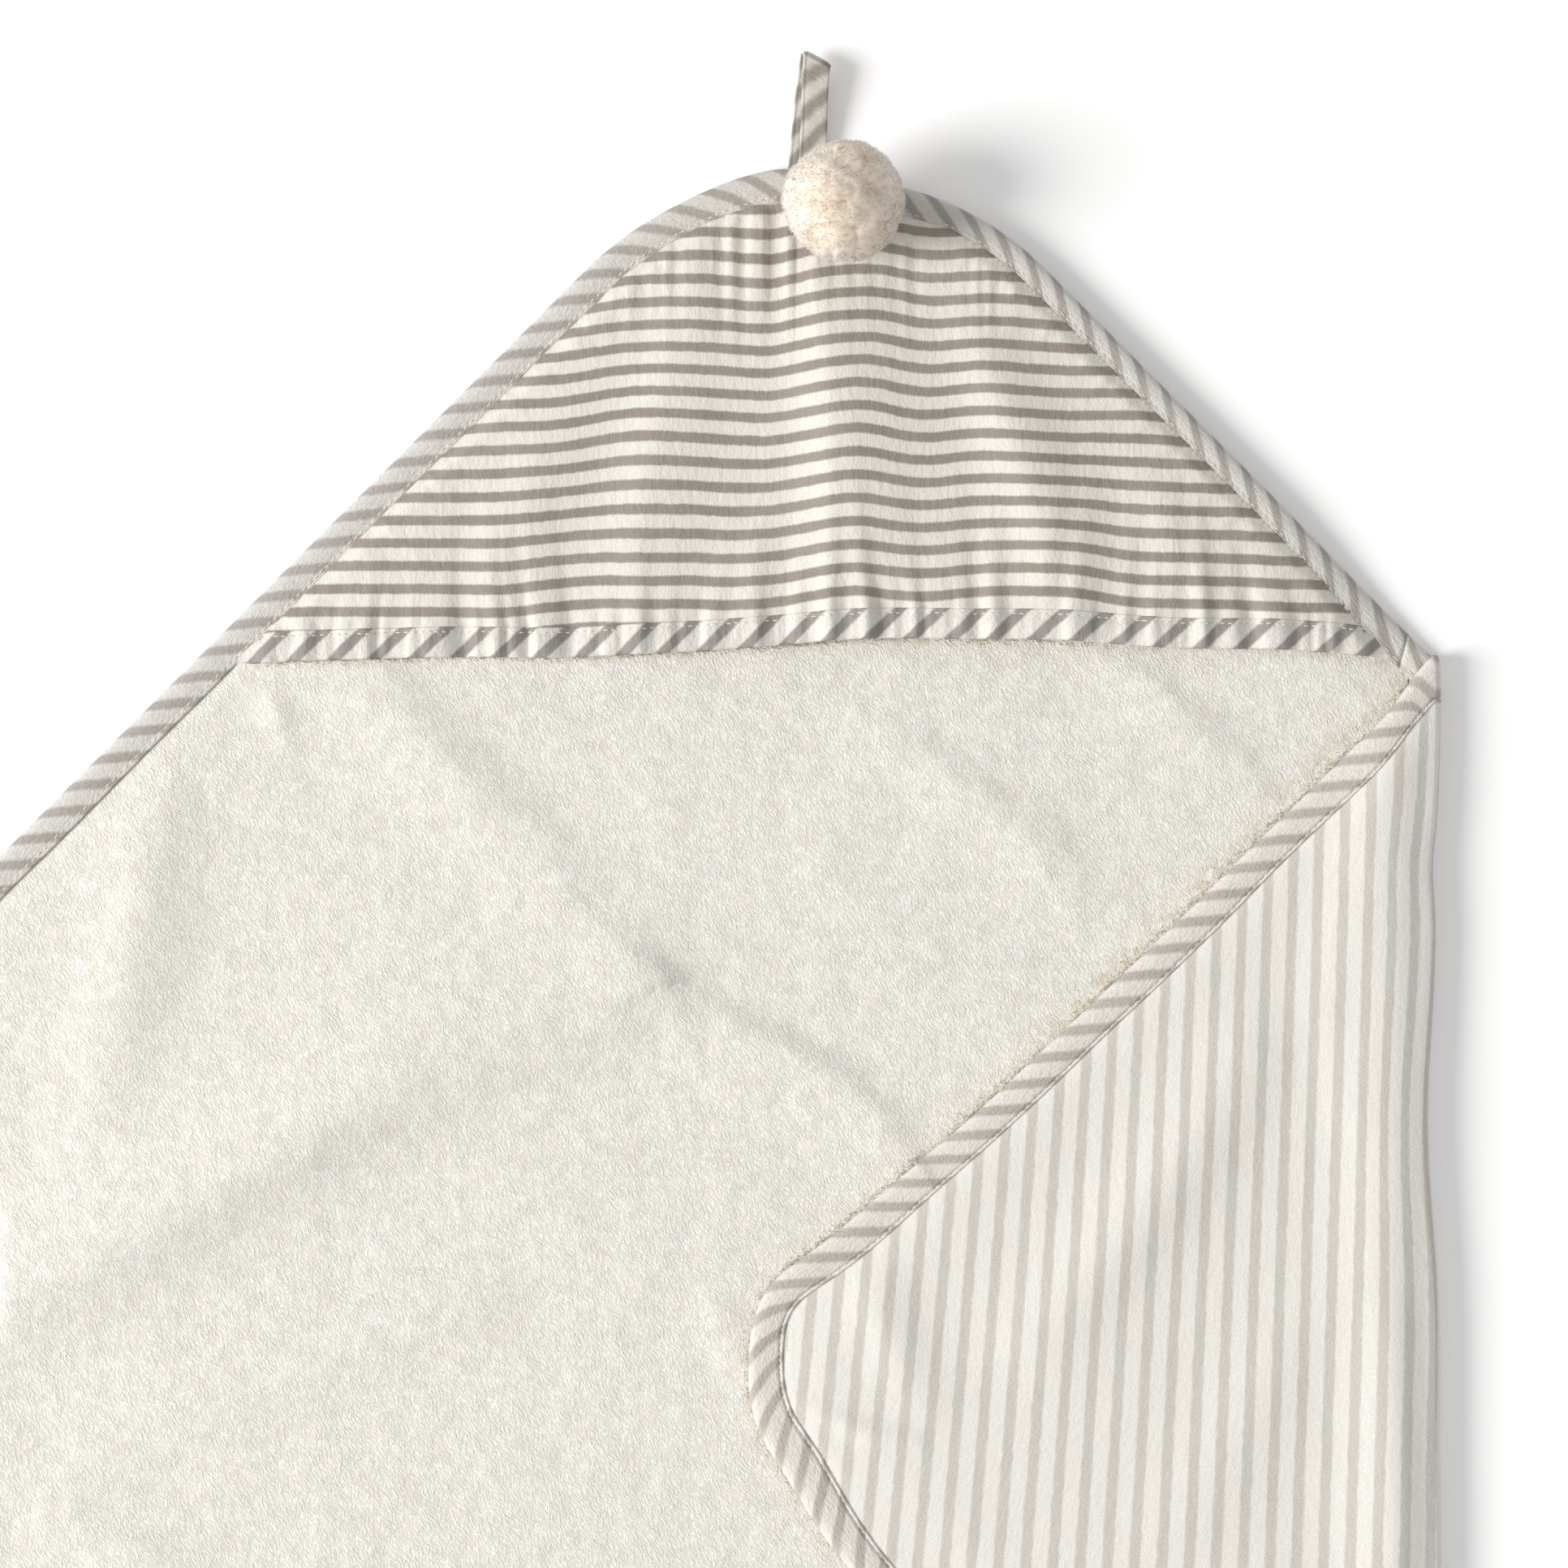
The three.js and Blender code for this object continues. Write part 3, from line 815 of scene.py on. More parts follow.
def stitch_piece(name, start, end, pitch=3.3, length=2.5):
    parts = Parts()
    # inset, height and outward direction: terry side, then backing side
    for base_inset, height, outward in ((11.0, 5.02, 1.0), (12.28, 0.5, -1.0)):
        arch = height + np.array([-0.22, 0.10, 0.16, 0.10, -0.22]) * outward
        for k in range(int((end - start) / pitch)):
            middle = start + (k + 0.5) * pitch
            if min(abs(middle - fold) for fold in (RIGHT_LOWER_FOLD, RIGHT_UPPER_FOLD)) < 6.0:
                continue
            arc = np.linspace(middle - length / 2, middle + length / 2, 5)
            inset = base_inset + 0.12 * math.sin(k * 2.7)
            path, share = edge_rows(arc, inset, arch[:, None])
            parts.add(*tube(path[:, 0, :], NEEDLE_TAPER, 6), weights=np.repeat(share[:, 0], 6))
    return parts.make(name)


# ---- hood ----
HEM_HEIGHT = 12.3
# Bow of the hood's free edge: x stations and offsets in y
HEM_X = [-240, -218, -185, -150, -103, -73, -47, -21, 5, 31, 58, 84, 110, 137, 163, 191, 220,
         232, 243]
HEM_OFFSET = [-6.0, -4.2, -2.6, -2.4, -2.3, -1.3, 0.0, 2.4, 4.2, 5.3, 5.3, 5.0, 3.7, 1.8, 1.0,
              0.5, -1.0, -2.4, -4.0]
# Cross-section of the hem tape: distance up its width, height above its middle
HEM_PROFILE = np.array([
    (1.4, 0.42), (10.4, 0.5), (11.9, 0.55), (12.35, 0.85), (12.1, 1.2), (11.1, 1.26),
    (10.3, 1.0), (9.4, 1.3), (7.2, 1.72), (4.6, 1.8), (2.3, 1.5), (0.7, 0.85), (0.0, 0.0),
    (0.5, -0.75), (2.0, -1.15), (5.0, -1.3), (8.5, -1.2), (11.0, -1.1), (11.6, -0.8),
    (10.8, -0.55), (1.4, -0.42)])
# Where the gathers carry the hood's stripes up or down: x stations, then offsets at three y
SWAY_X = [-240, -190, -146, -126, -106, -96, -87, -77, -67, -47, -37, -28, -18, -8, 2, 12, 22,
          31, 41, 51, 61, 71, 81, 91, 100, 110, 120, 130, 150, 170, 190, 240]
SWAY = {
    330: [-6, -6, -6.2, -6.7, -4.2, -3.1, -2.7, -2.9, -3.1, -2.8, -3.6, -3.3, -2.6, -1.2, 0.8,
          2.2, 2.0, 0.4, -0.2, 0.1, 1.5, 2.0, 2.2, 1.9, 1.6, 0.7, -1.4, -2.7, -3.1, -3.4, -4.5,
          -4.5],
    382: [-7, -7, -6.5, -5.7, -5.4, -4.0, -1.9, -0.2, 0.0, -1.0, -1.7, -2.1, -2.7, -0.8, 0.3,
          2.2, 2.5, 0.1, -1.7, -1.2, 0.4, 0.2, -0.7, -1.2, -1.6, -1.5, -1.4, -1.4, -2.6, -3, -3,
          -3],
    430: [-7, -7, -7, -6.5, -5.8, -4.9, -3.8, -2.4, -1.9, -2.0, -2.5, -3.6, -4.2, -1.8, 0.3,
          1.3, 1.9, 1.0, -1.5, -2.1, -1.1, -0.9, -1.3, -2.1, -2.8, -3.0, -3, -3, -3, -3, -3, -3],
}


def hem_line(x):
    """y of the hood's free edge, which bows up a little over the ripples."""
    return HEM_Y + 0.25 * np.sin(x / 13.0) + soft_interp(x, HEM_X, HEM_OFFSET, 12)


def hood_top(x, y):
    inset = edge_distance(x, y) - 12.5
    z = 4.35 + 2.8 * smooth((inset + 0.6 + 3.0 * rolled(x, y)) / 7.0) + 1.3 * smooth(inset / 60)
    z = z + 5.0 * smooth(inset / 85) * smooth((x + 120) / 220) + edge_lift(x, y)
    z = z + ridge_height(x, y, HOOD_RIDGES) * smooth((inset + 4) / 44)
    # puckers rising from the hem
    above = np.maximum(y - hem_line(x) - HEM_HEIGHT, 0)
    lean = x + 0.12 * above * np.sin(x / 23.0)
    pucker = (noise(lean / 2.9, 2, 51) * 1.15 * np.exp(-above / 8)
              + noise(lean / 6.5, 5, 52) * 1.5 * np.exp(-above / 24))
    z = z + pucker * smooth(inset / 14)
    # puckers along the sides, inside the binding
    along = (x - np.sign(x) * y) / ROOT2
    fade = np.exp(-np.maximum(inset - 1.5, 0) / 8.5) * smooth((inset + 0.6) / 3.5)
    z = z + 0.6 * noise(along / 3.4, np.sign(x) * 3, 53) * fade
    # gathers at the apex
    apex = bell((y - 454) / 29) * noise(x / 2.6, 1, 54) * (0.8 + 1.1 * bell((x + 20) / 28))
    z = z + 0.95 * apex * smooth((inset + 0.5) / 4)
    return z + 0.32 * clouds(x, y, 21, 3, 55) * smooth(inset / 20)


def hood_weight(x, y):
    return smooth((edge_distance(x, y) - 12.5) / 150)


def hood_panel(name, lower, upper, step):
    """A layer of the hood between two heights relative to hood_top."""
    def inset_at(x, y):
        return np.minimum(edge_distance(x, y) - 11.5 + 2.6 * rolled(x, y),
                          y - (hem_line(x) + 4.0))

    cells = lattice(-243, 243, HEM_Y - 8, APEX_Y - 6, step, inset_at)
    x, y = cells[:2]
    z, raised_y = hood_top(x, y), y + drawn_up(x, y)
    piece = sheet(name, cells, points(x, raised_y, z + upper), points(x, raised_y, z + lower))
    bend(piece, "hood", np.tile(hood_weight(x, y), 2))
    return piece


def hem_place(x, up_width, height):
    """A point on the hood's hem strip: x along it, then up its width and above its middle."""
    y = hem_line(x) + up_width
    x = np.clip(x, -(HALF - 7.6 - y), HALF - 8.6 - y)
    inset = edge_distance(x, y) - 12.5
    # the strip thins out where it runs under the edge binding
    full = smooth((inset + 3.4 + 2.4 * rolled(x, y)) / 5)
    middle = hood_top(x, np.maximum(y, hem_line(x) + 4.0)) - 0.35 * full
    return x, y, middle + height * (0.16 + 0.84 * full)


def hem_binding():
    xs = np.arange(-243.5, 243.6, 1.5)
    across, profile_height = HEM_PROFILE.T
    height = np.tile(profile_height, (len(xs), 1))
    top = profile_height > 0.9
    height[:, top] += np.outer(0.22 * noise(xs / 2.6, 4, 61), bell((across[top] - 8.5) / 3.5))
    height[:, top] += np.outer(0.22 * noise(xs / 8.0, 9, 62), bell((across[top] - 5) / 3.5))
    x, y, z = hem_place(xs[:, None], across, height)
    piece = swept_object("hood_hem_tape", points(x, y, z), points(xs[:, None], across, height))
    bend(piece, "hood", hood_weight(x, y).reshape(-1))
    return piece


def hem_stitches(pitch=3.1, length=2.3):
    parts = Parts()
    arch = 1.05 + np.array([-0.25, 0.06, 0.13, 0.06, -0.25])
    for k, start in enumerate(np.arange(-231, 230, pitch)):
        xs = np.linspace(start, start + length, 5)
        x, y, z = hem_place(xs, 10.3 + 0.15 * math.sin(k * 1.9), arch)
        parts.add(*tube(points(x, y, z), [0.12, 0.24, 0.28, 0.24, 0.12], 6),
                  weights=np.repeat(hood_weight(x, y), 6))
    piece, weights = parts.make("hood_hem_stitches")
    bend(piece, "hood", weights)
    return piece


def stripe_sway(x, y):
    low, middle, high = SWAY
    at_low, at_middle, at_high = (soft_interp(x, SWAY_X, SWAY[row], 5) for row in SWAY)
    lower_share = np.clip((y - low) / (middle - low), 0, 1)
    upper_share = np.clip((y - middle) / (high - middle), 0, 1)
    return np.where(y < middle, at_low * (1 - lower_share) + at_middle * lower_share,
                    at_middle * (1 - upper_share) + at_high * upper_share)


# ---- loop and bartack ----
# Cross-section of the loop's tape: share of its half width, share of its thickness
LOOP_SECTION = np.array([
    (-1.0, 0.0), (-0.95, 0.5), (-0.84, 0.62), (-0.76, 0.36), (-0.66, 0.52), (-0.3, 0.6),
    (0.0, 0.52), (0.3, 0.6), (0.7, 0.56), (0.84, 0.5), (0.95, 0.42), (1.0, 0.0),
    (0.92, -0.42), (0.3, -0.5), (-0.3, -0.5), (-0.92, -0.42)])


def loop_strip():
    """A folded length of binding: two flattened layers joined by a round turn at the tip."""
    start_y, end_y = TACK_LOW[1] - 4.0, LOOP_HIGH[1] - 2.2
    parts = Parts()
    along = np.linspace(0, 1, 40)
    middle_x = (LOOP_LOW[0] + LOOP_HIGH[0]) / 2
    y = start_y + (end_y - start_y) * along
    rise = 5.5 * smooth((along - 0.2) / 0.8) ** 1.3
    across, thick = LOOP_SECTION.T
    # layer, sideways offset, half width, base height, share of the rise, stripe offset
    layers = [
        (0, -4.6 * (1 - 0.78 * along**2) + 0.2, 5.5, 1.3, 0.86, 5.0),
        (1, 0.3 + 0.3 * along, 6.0, 3.3, 1.0, 0.0),
    ]
    tip_heights = []
    for layer, offset, half_width, base, rise_share, stripe_offset in layers:
        x = middle_x - 1.9 + offset + 3.4 * (along - 0.25) + 0.5 * np.sin(along * 4.4 + 0.6)
        half = half_width * (1 - 0.05 * np.sin(math.pi * along) - 0.10 * along)
        z = base + rise * rise_share + 0.5 * np.sin(math.pi * along) * layer
        waver = 0.3 * noise(y / 5.5, layer, 71)
        rings = points(x[:, None] + across * half[:, None],
                       y[:, None] - 3.0 * across * along[:, None] ** 3,
                       z[:, None] + thick * 1.15 + waver[:, None] * (1 - across**2))
        uvw = points((y - start_y + stripe_offset)[:, None], across * 6.0 + 6, 6.0 + layer)
        parts.add(rings.reshape(-1, 3), sweep(*rings.shape[:2]), uvw.reshape(-1, 3))
        tip_heights.append(z[-1])
    # the rounded turn at the tip, across the upper layer's end
    tip_x, tip_half = x[-1], half[-1]
    across = np.linspace(-1, 1, 13)
    path = points(tip_x + across * tip_half * 0.98, end_y - 3.0 * across - 0.2,
                  sum(tip_heights) / 2)
    verts, faces = tube(path, [1.0, 1.4, 1.6] + [1.65] * 7 + [1.6, 1.4, 1.0], 12)
    parts.add(verts, faces, points(end_y - start_y, verts[:, 0] - tip_x + 6, 7.0))
    return parts.make("hanging_loop_tape")[0]


def bartack(stitches=26, width=11.2):
    parts = Parts()
    middle_x = (TACK_LOW[0] + TACK_HIGH[0]) / 2 - 0.6
    y = (TACK_LOW[1] + TACK_HIGH[1]) / 2
    for k in range(stitches):
        x = middle_x - width / 2 + width * k / (stitches - 1)
        path = [(x - 0.2, y - 1.1, 4.9), (x, y - 0.5, 5.75),
                (x + 0.15, y + 0.5, 5.75), (x + 0.3, y + 1.1, 4.9)]
        parts.add(*tube(path, [0.16, 0.3, 0.3, 0.16], 6, up=(1, 0, 0)))
    return parts.make("loop_bartack_stitches")[0]


# ---- pom-pom ----
POM_CENTRE = np.array([(POM_LOW[0] + POM_HIGH[0]) / 2 - 1.2,
                       (POM_LOW[1] + POM_HIGH[1]) / 2 - 2.2, 30.0])
POM_RADIUS = 23.0


def unit_sphere(rows, columns):
    """A closed ball of quads and end triangles."""
    verts, faces = [(0, 0, 1)], []
    for i in range(1, rows):
        down = math.pi * i / rows
        for j in range(columns):
            turn = 2 * math.pi * j / columns
            verts.append((math.sin(down) * math.cos(turn), math.sin(down) * math.sin(turn),
                          math.cos(down)))
    verts.append((0, 0, -1))
    for j in range(columns):
        faces.append([0, 1 + j, 1 + (j + 1) % columns])
    for i in range(rows - 2):
        for j in range(columns):
            a, b = 1 + i * columns + j, 1 + i * columns + (j + 1) % columns
            faces.append([a, a + columns, b + columns, b])
    last = len(verts) - 1
    row = 1 + (rows - 2) * columns
    for j in range(columns):
        faces.append([row + j, last, row + (j + 1) % columns])
    return np.array(verts), faces


def ball_noise(at, size, seed):
    """Noise over points of a ball, from three planes."""
    x, y, z = at.T
    return (noise(x / size + 11, y / size, seed) + noise(y / size - 7, z / size, seed + 1)
            + noise(z / size + 3, x / size, seed + 2)) / 3


def pom_radius(ball):
    """Radius of the clipped pile: lobes, with narrow partings between some of them."""
    x, y, z = ball.T
    radius = (1.0 + 0.045 * ball_noise(ball, 0.55, 81) + 0.034 * ball_noise(ball, 0.24, 84)
              + 0.026 * ball_noise(ball, 0.12, 88))
    # shallow creases between tufts
    radius = (radius - 0.020 * bell(ball_noise(ball, 0.34, 141) / 0.085)
              - 0.012 * bell(ball_noise(ball, 0.2, 151) / 0.08))
    # one parting from the upper left down to the right, where two tufts meet
    part = 0.68 * x + 0.73 * y - 0.34 + 0.12 * ball_noise(ball, 0.5, 131)
    radius = radius - 0.05 * bell(part / 0.13) * smooth((z + 0.1) / 0.4)
    radius = radius - 0.05 * bell((x + 0.36) / 0.3) * smooth((y - 0.45) / 0.5)
    cross_part = 0.8 * x - 0.6 * y - 0.30 + 0.2 * ball_noise(ball, 0.4, 137)
    radius = radius - 0.02 * bell(cross_part / 0.09) * smooth(part / 0.2)
    # fuller than the frame's ball above, and packed in below, where it turns over the hood
    return POM_RADIUS * 1.055 * radius * (1 - 0.17 * smooth((-z - 0.05) / 0.55))


def pompom_ball():
    ball, faces = unit_sphere(110, 180)
    fuzz = 0.986 + 0.010 * ball_noise(ball, 0.09, 87) + 0.008 * ball_noise(ball, 0.045, 90)
    verts = ball * (pom_radius(ball) * fuzz)[:, None] + POM_CENTRE
    verts[:, 2] = np.maximum(verts[:, 2], 8.9)
    return make_object("pompom_plush", verts, faces, ball * POM_RADIUS)


def hair_mesh(path, direction, radius, taper, steep):
    """Closed three-sided hairs of three rings; steep is the z past which x squares them up."""
    reference = np.where(abs(direction[:, 2:]) > steep, [[1.0, 0, 0]], [[0, 0, 1.0]])
    side = unit(np.cross(direction, reference))
    other = np.cross(direction, side)
    angle = (np.arange(3) * 2 * math.pi / 3)[None, :, None]
    ring = np.cos(angle) * side[:, None, :] + np.sin(angle) * other[:, None, :]
    thickness = (radius[:, None] * taper)[:, :, None, None]
    verts = (path[:, :, None, :] + ring[:, None] * thickness).reshape(-1, 3)
    quads = [[k * 3 + j, k * 3 + (j + 1) % 3, (k + 1) * 3 + (j + 1) % 3, (k + 1) * 3 + j]
             for k in range(2) for j in range(3)]
    first = (np.arange(len(path)) * 9)[:, None, None]
    faces = ((np.array(quads) + first).reshape(-1, 4).tolist()
             + (np.array([[2, 1, 0], [6, 7, 8]]) + first).reshape(-1, 3).tolist())
    return verts, faces


def pompom_pile(count=13600):
    rng = np.random.default_rng(7)
    z = rng.uniform(-0.86, 1, count)
    turn = rng.uniform(0, 2 * math.pi, count)
    level = np.sqrt(1 - z * z)
    ball = points(level * np.cos(turn), level * np.sin(turn), z)
    radius = pom_radius(ball)
    # the pile leans in tufts, and away from the partings
    reach = 0.03
    slope = 0
    tangent = unit(np.cross(ball, np.array([0.3, 0.2, 0.93])))
    for way in (tangent, np.cross(ball, tangent)):
        change = pom_radius(unit(ball + reach * way)) - radius
        slope = slope + (change / (reach * POM_RADIUS))[:, None] * way
    tufts = points(ball_noise(ball, 0.3, 91), ball_noise(ball[:, [1, 2, 0]], 0.3, 94),
                   ball_noise(ball[:, [2, 0, 1]], 0.3, 97))
    lean = tufts * 0.8 - 0.6 * slope + rng.normal(0, 0.09, (count, 3))
    lean -= (lean * ball).sum(1)[:, None] * ball
    length = rng.uniform(0.7, 1.3, count)[:, None]
    thickness = rng.uniform(0.10, 0.17, count)
    along = np.array([0.0, 0.6, 1.0])
    path = ((ball * (radius * 0.978)[:, None])[:, None, :]
            + ball[:, None, :] * (length * along)[..., None]
            + lean[:, None, :] * (length * along**1.5)[..., None] * 0.9 + POM_CENTRE)
    taper = np.array([1.0, 0.85, 0.2])
    verts, faces = hair_mesh(path, unit(ball + 0.3 * lean), thickness, taper, steep=0.9)
    verts[:, 2] = np.maximum(verts[:, 2], 8.6)
    piece = make_object("pompom_pile", verts, faces, np.repeat(ball * POM_RADIUS, 9, axis=0))
    add_floats(piece, "tip", np.tile(np.repeat(along, 3), count))
    return piece


def pompom_core():
    ball, faces = unit_sphere(24, 36)
    verts = ball * 17.0 * (1 + 0.04 * ball_noise(ball, 0.5, 99))[:, None] + POM_CENTRE
    return make_object("pompom_filling", verts, faces, ball)


def pompom_cord():
    """Three strands twisted together, from the tie up into the ball."""
    x, y = (TIE_LOW[0] + TIE_HIGH[0]) / 2, (TIE_LOW[1] + TIE_HIGH[1]) / 2
    parts = Parts()
    strand = 0.62  # each strand's radius, and its distance from the cord's axis
    along = np.linspace(0, 1, 15)
    for k in range(3):
        angle = 2 * math.pi * (k / 3 + 0.9 * along)
        path = points(x + strand * np.cos(angle), y + strand * np.sin(angle),
                      TIE_LOW[2] - 0.1 + (13.0 - TIE_LOW[2]) * along)
        parts.add(*tube(path, strand, 8, up=(1, 0, 0)))
    return parts.make("pompom_cord")[0]


# ---- loose fibres ----
def pulled_loops():
    """Loose pile standing up where the folded corner and the hood's hem press on the terry."""
    rng = np.random.default_rng(11)
    # along the folded corner's free edge
    arc = rng.uniform(RIGHT_LOWER_FOLD + 12, RIGHT_UPPER_FOLD - 12, 5600)
    normal = outline_at(arc)[1]
    edge = edge_rows(arc, 0.0, 2.5)[0][:, 0, :]
    outward = normal * (1, -1)  # from the flap, seen from above
    offset = np.abs(rng.normal(0, 1.5, len(arc))) - 0.7
    at = edge[:, :2] + outward * offset[:, None]
    keep = (noise(arc / 13.0, 2, 17) > rng.uniform(-1.2, 0.9, len(arc))) & (at[:, 1] > -150)
    (x, y), outward = at[keep].T, outward[keep]
    flap_base = points(x, y, terry_top(x, y) - 0.3)
    flap_way = points(outward[:, 0] * 0.45, outward[:, 1] * 0.45, 0.9)
    flap_way = flap_way + rng.normal(0, 0.35, (len(x), 3))
    # below the hood's hem
    x = rng.uniform(-222, 222, 2600)
    y = hem_line(x) - np.abs(rng.normal(0, 0.8, len(x))) + 0.5
    keep = noise(x / 16.0, 7, 19) > rng.uniform(-1.0, 1.3, len(x))
    x, y = x[keep], y[keep]
    hem_base = points(x, y, terry_top(x, y) - 0.3)
    hem_way = np.array([0.0, -0.35, 0.9]) + rng.normal(0, 0.35, (len(x), 3))
    base = np.concatenate([flap_base, hem_base])
    direction = unit(np.concatenate([flap_way, hem_way]))
    count = len(base)
    length = rng.uniform(0.9, 1.9, count)[:, None]
    radius = rng.uniform(0.13, 0.24, count)
    sag = rng.normal(0, 0.35, (count, 3)) * length
    along = np.array([0.0, 0.5, 1.0])
    path = (base[:, None, :] + direction[:, None, :] * (length * along)[..., None]
            + sag[:, None, :] * (along**2)[None, :, None])
    verts, faces = hair_mesh(path, direction, radius, np.array([1.0, 0.8, 0.25]), steep=0.85)
    return make_object("pulled_pile", verts, faces, np.repeat(base, 9, axis=0))


# ---- materials; colours are sRGB from 0 to 255, lengths in their textures are mm ----
def rgb(red, green, blue):
    def linear(value):
        value /= 255.0
        return value / 12.92 if value <= 0.04045 else ((value + 0.055) / 1.055) ** 2.4
    return (linear(red), linear(green), linear(blue), 1.0)


class Look:
    """Short names for building a material's node tree."""

    def __init__(self, name):
        self.material = bpy.data.materials.new(name)
        self.material.use_nodes = True
        self.tree = self.material.node_tree
        self.shader = self.tree.nodes["Principled BSDF"]

    def put(self, socket, value):
        if isinstance(value, bpy.types.NodeSocket):
            self.tree.links.new(value, socket)
        else:
            socket.default_value = value

    def node(self, kind, inputs, **settings):
        node = self.tree.nodes.new(kind)
        for key, value in settings.items():
            setattr(node, key, value)
        for key, value in inputs.items():
            self.put(node.inputs[key], value)
        return node

    def attribute(self, name, output="Vector"):
        return self.node("ShaderNodeAttribute", {}, attribute_name=name).outputs[output]

    def object_place(self):
        return self.node("ShaderNodeTexCoord", {}).outputs["Object"]

    def math(self, operation, a, b=0.0):
        return self.node("ShaderNodeMath", {0: a, 1: b, 2: 0.0}, operation=operation).outputs[0]

    def add(self, a, b):
        return self.math("ADD", a, b)

    def times(self, a, b):
        return self.math("MULTIPLY", a, b)

    def vector(self, operation, a, b):
        return self.node("ShaderNodeVectorMath", {0: a, 1: b}, operation=operation).outputs[0]

    def stretch(self, vector, factors):
        return self.vector("MULTIPLY", vector, factors)

    def noise(self, vector, scale, detail=2.0, rough=0.5, output="Fac"):
        inputs = {"Vector": vector, "Scale": scale, "Detail": detail, "Roughness": rough}
        return self.node("ShaderNodeTexNoise", inputs).outputs[output]

    def ramp(self, value, span, to=(0.0, 1.0)):
        """A smooth step over a span of the value, between two outputs."""
        inputs = {0: value, 1: span[0], 2: span[1], 3: to[0], 4: to[1]}
        return self.node("ShaderNodeMapRange", inputs,
                         interpolation_type="SMOOTHSTEP").outputs[0]

    def mix(self, share, a, b):
        return self.node("ShaderNodeMix", {0: share, 6: a, 7: b}, data_type="RGBA").outputs[2]

    def bump(self, height, distance, strength, normal=None):
        inputs = {"Height": height, "Strength": strength, "Distance": distance}
        if normal is not None:
            inputs["Normal"] = normal
        return self.node("ShaderNodeBump", inputs).outputs[0]

    def done(self, color, normal=None, rough=0.95, sheen=0.0):
        inputs = {"Base Color": color, "Roughness": rough, "Specular IOR Level": 0.12,
                  "Sheen Weight": sheen, "Sheen Roughness": 0.5}
        if normal is not None:
            inputs["Normal"] = normal
        for key, value in inputs.items():
            self.put(self.shader.inputs[key], value)
        return self.material


def striped(name, ground, stripe, duty, wobble, soft, crinkle=0.4):
    """Woven stripes along the piece's phase attribute.

    duty is the stripe's share of the pitch, wobble and soft its edges' waver and blur,
    crinkle the depth of the fine folds.
    """
    look = Look(name)
    uvw = look.attribute("uvw")
    phase = look.attribute("phase", output="Fac")
    waver = look.noise(uvw, scale=0.16, detail=3.0, rough=0.6)
    fine = look.noise(uvw, scale=1.1, rough=0.6)
    for texture, amount in ((waver, 2.2), (fine, 0.9)):
        centred = look.math("SUBTRACT", texture, 0.5)
        phase = look.add(phase, look.times(centred, wobble * amount))
    # 0 mid-stripe, 0.5 mid-gap
    off_middle = look.math("ABSOLUTE", look.math("SUBTRACT", look.math("FRACT", phase), 0.5))
    on_stripe = look.ramp(off_middle, span=(duty / 2 - soft, duty / 2 + soft), to=(1.0, 0.0))
    # crossing threads, finer than the stripes
    warp = look.noise(look.stretch(uvw, (3.52, 0.8, 1.0)), scale=1.0, rough=0.6)
    weft = look.noise(look.stretch(uvw, (0.8, 3.52, 1.0)), scale=1.0, rough=0.6)
    weave = look.add(look.times(warp, 0.5), look.times(weft, 0.5))
    ground_color = look.mix(look.ramp(weave, span=(0.34, 0.66)), rgb(*[c - 10 for c in ground]),
                            rgb(*[min(255, c + 7) for c in ground]))
    shade = look.noise(uvw, scale=0.05)
    stripe_color = look.mix(look.ramp(weave, span=(0.35, 0.65)), rgb(*stripe),
                            rgb(*[int(c * 0.904) for c in stripe]))
    faded = look.times(on_stripe, look.ramp(shade, span=(0.2, 0.8), to=(0.88, 1.0)))
    color = look.mix(faded, ground_color, stripe_color)
    folds = look.noise(look.stretch(uvw, (0.42, 0.17, 1.0)), scale=1.0, detail=3.0, rough=0.6)
    normal = look.bump(folds, distance=0.0022 * crinkle, strength=0.8)
    normal = look.bump(weave, distance=0.00034, strength=0.8, normal=normal)
    return look.done(color, normal, rough=0.88)


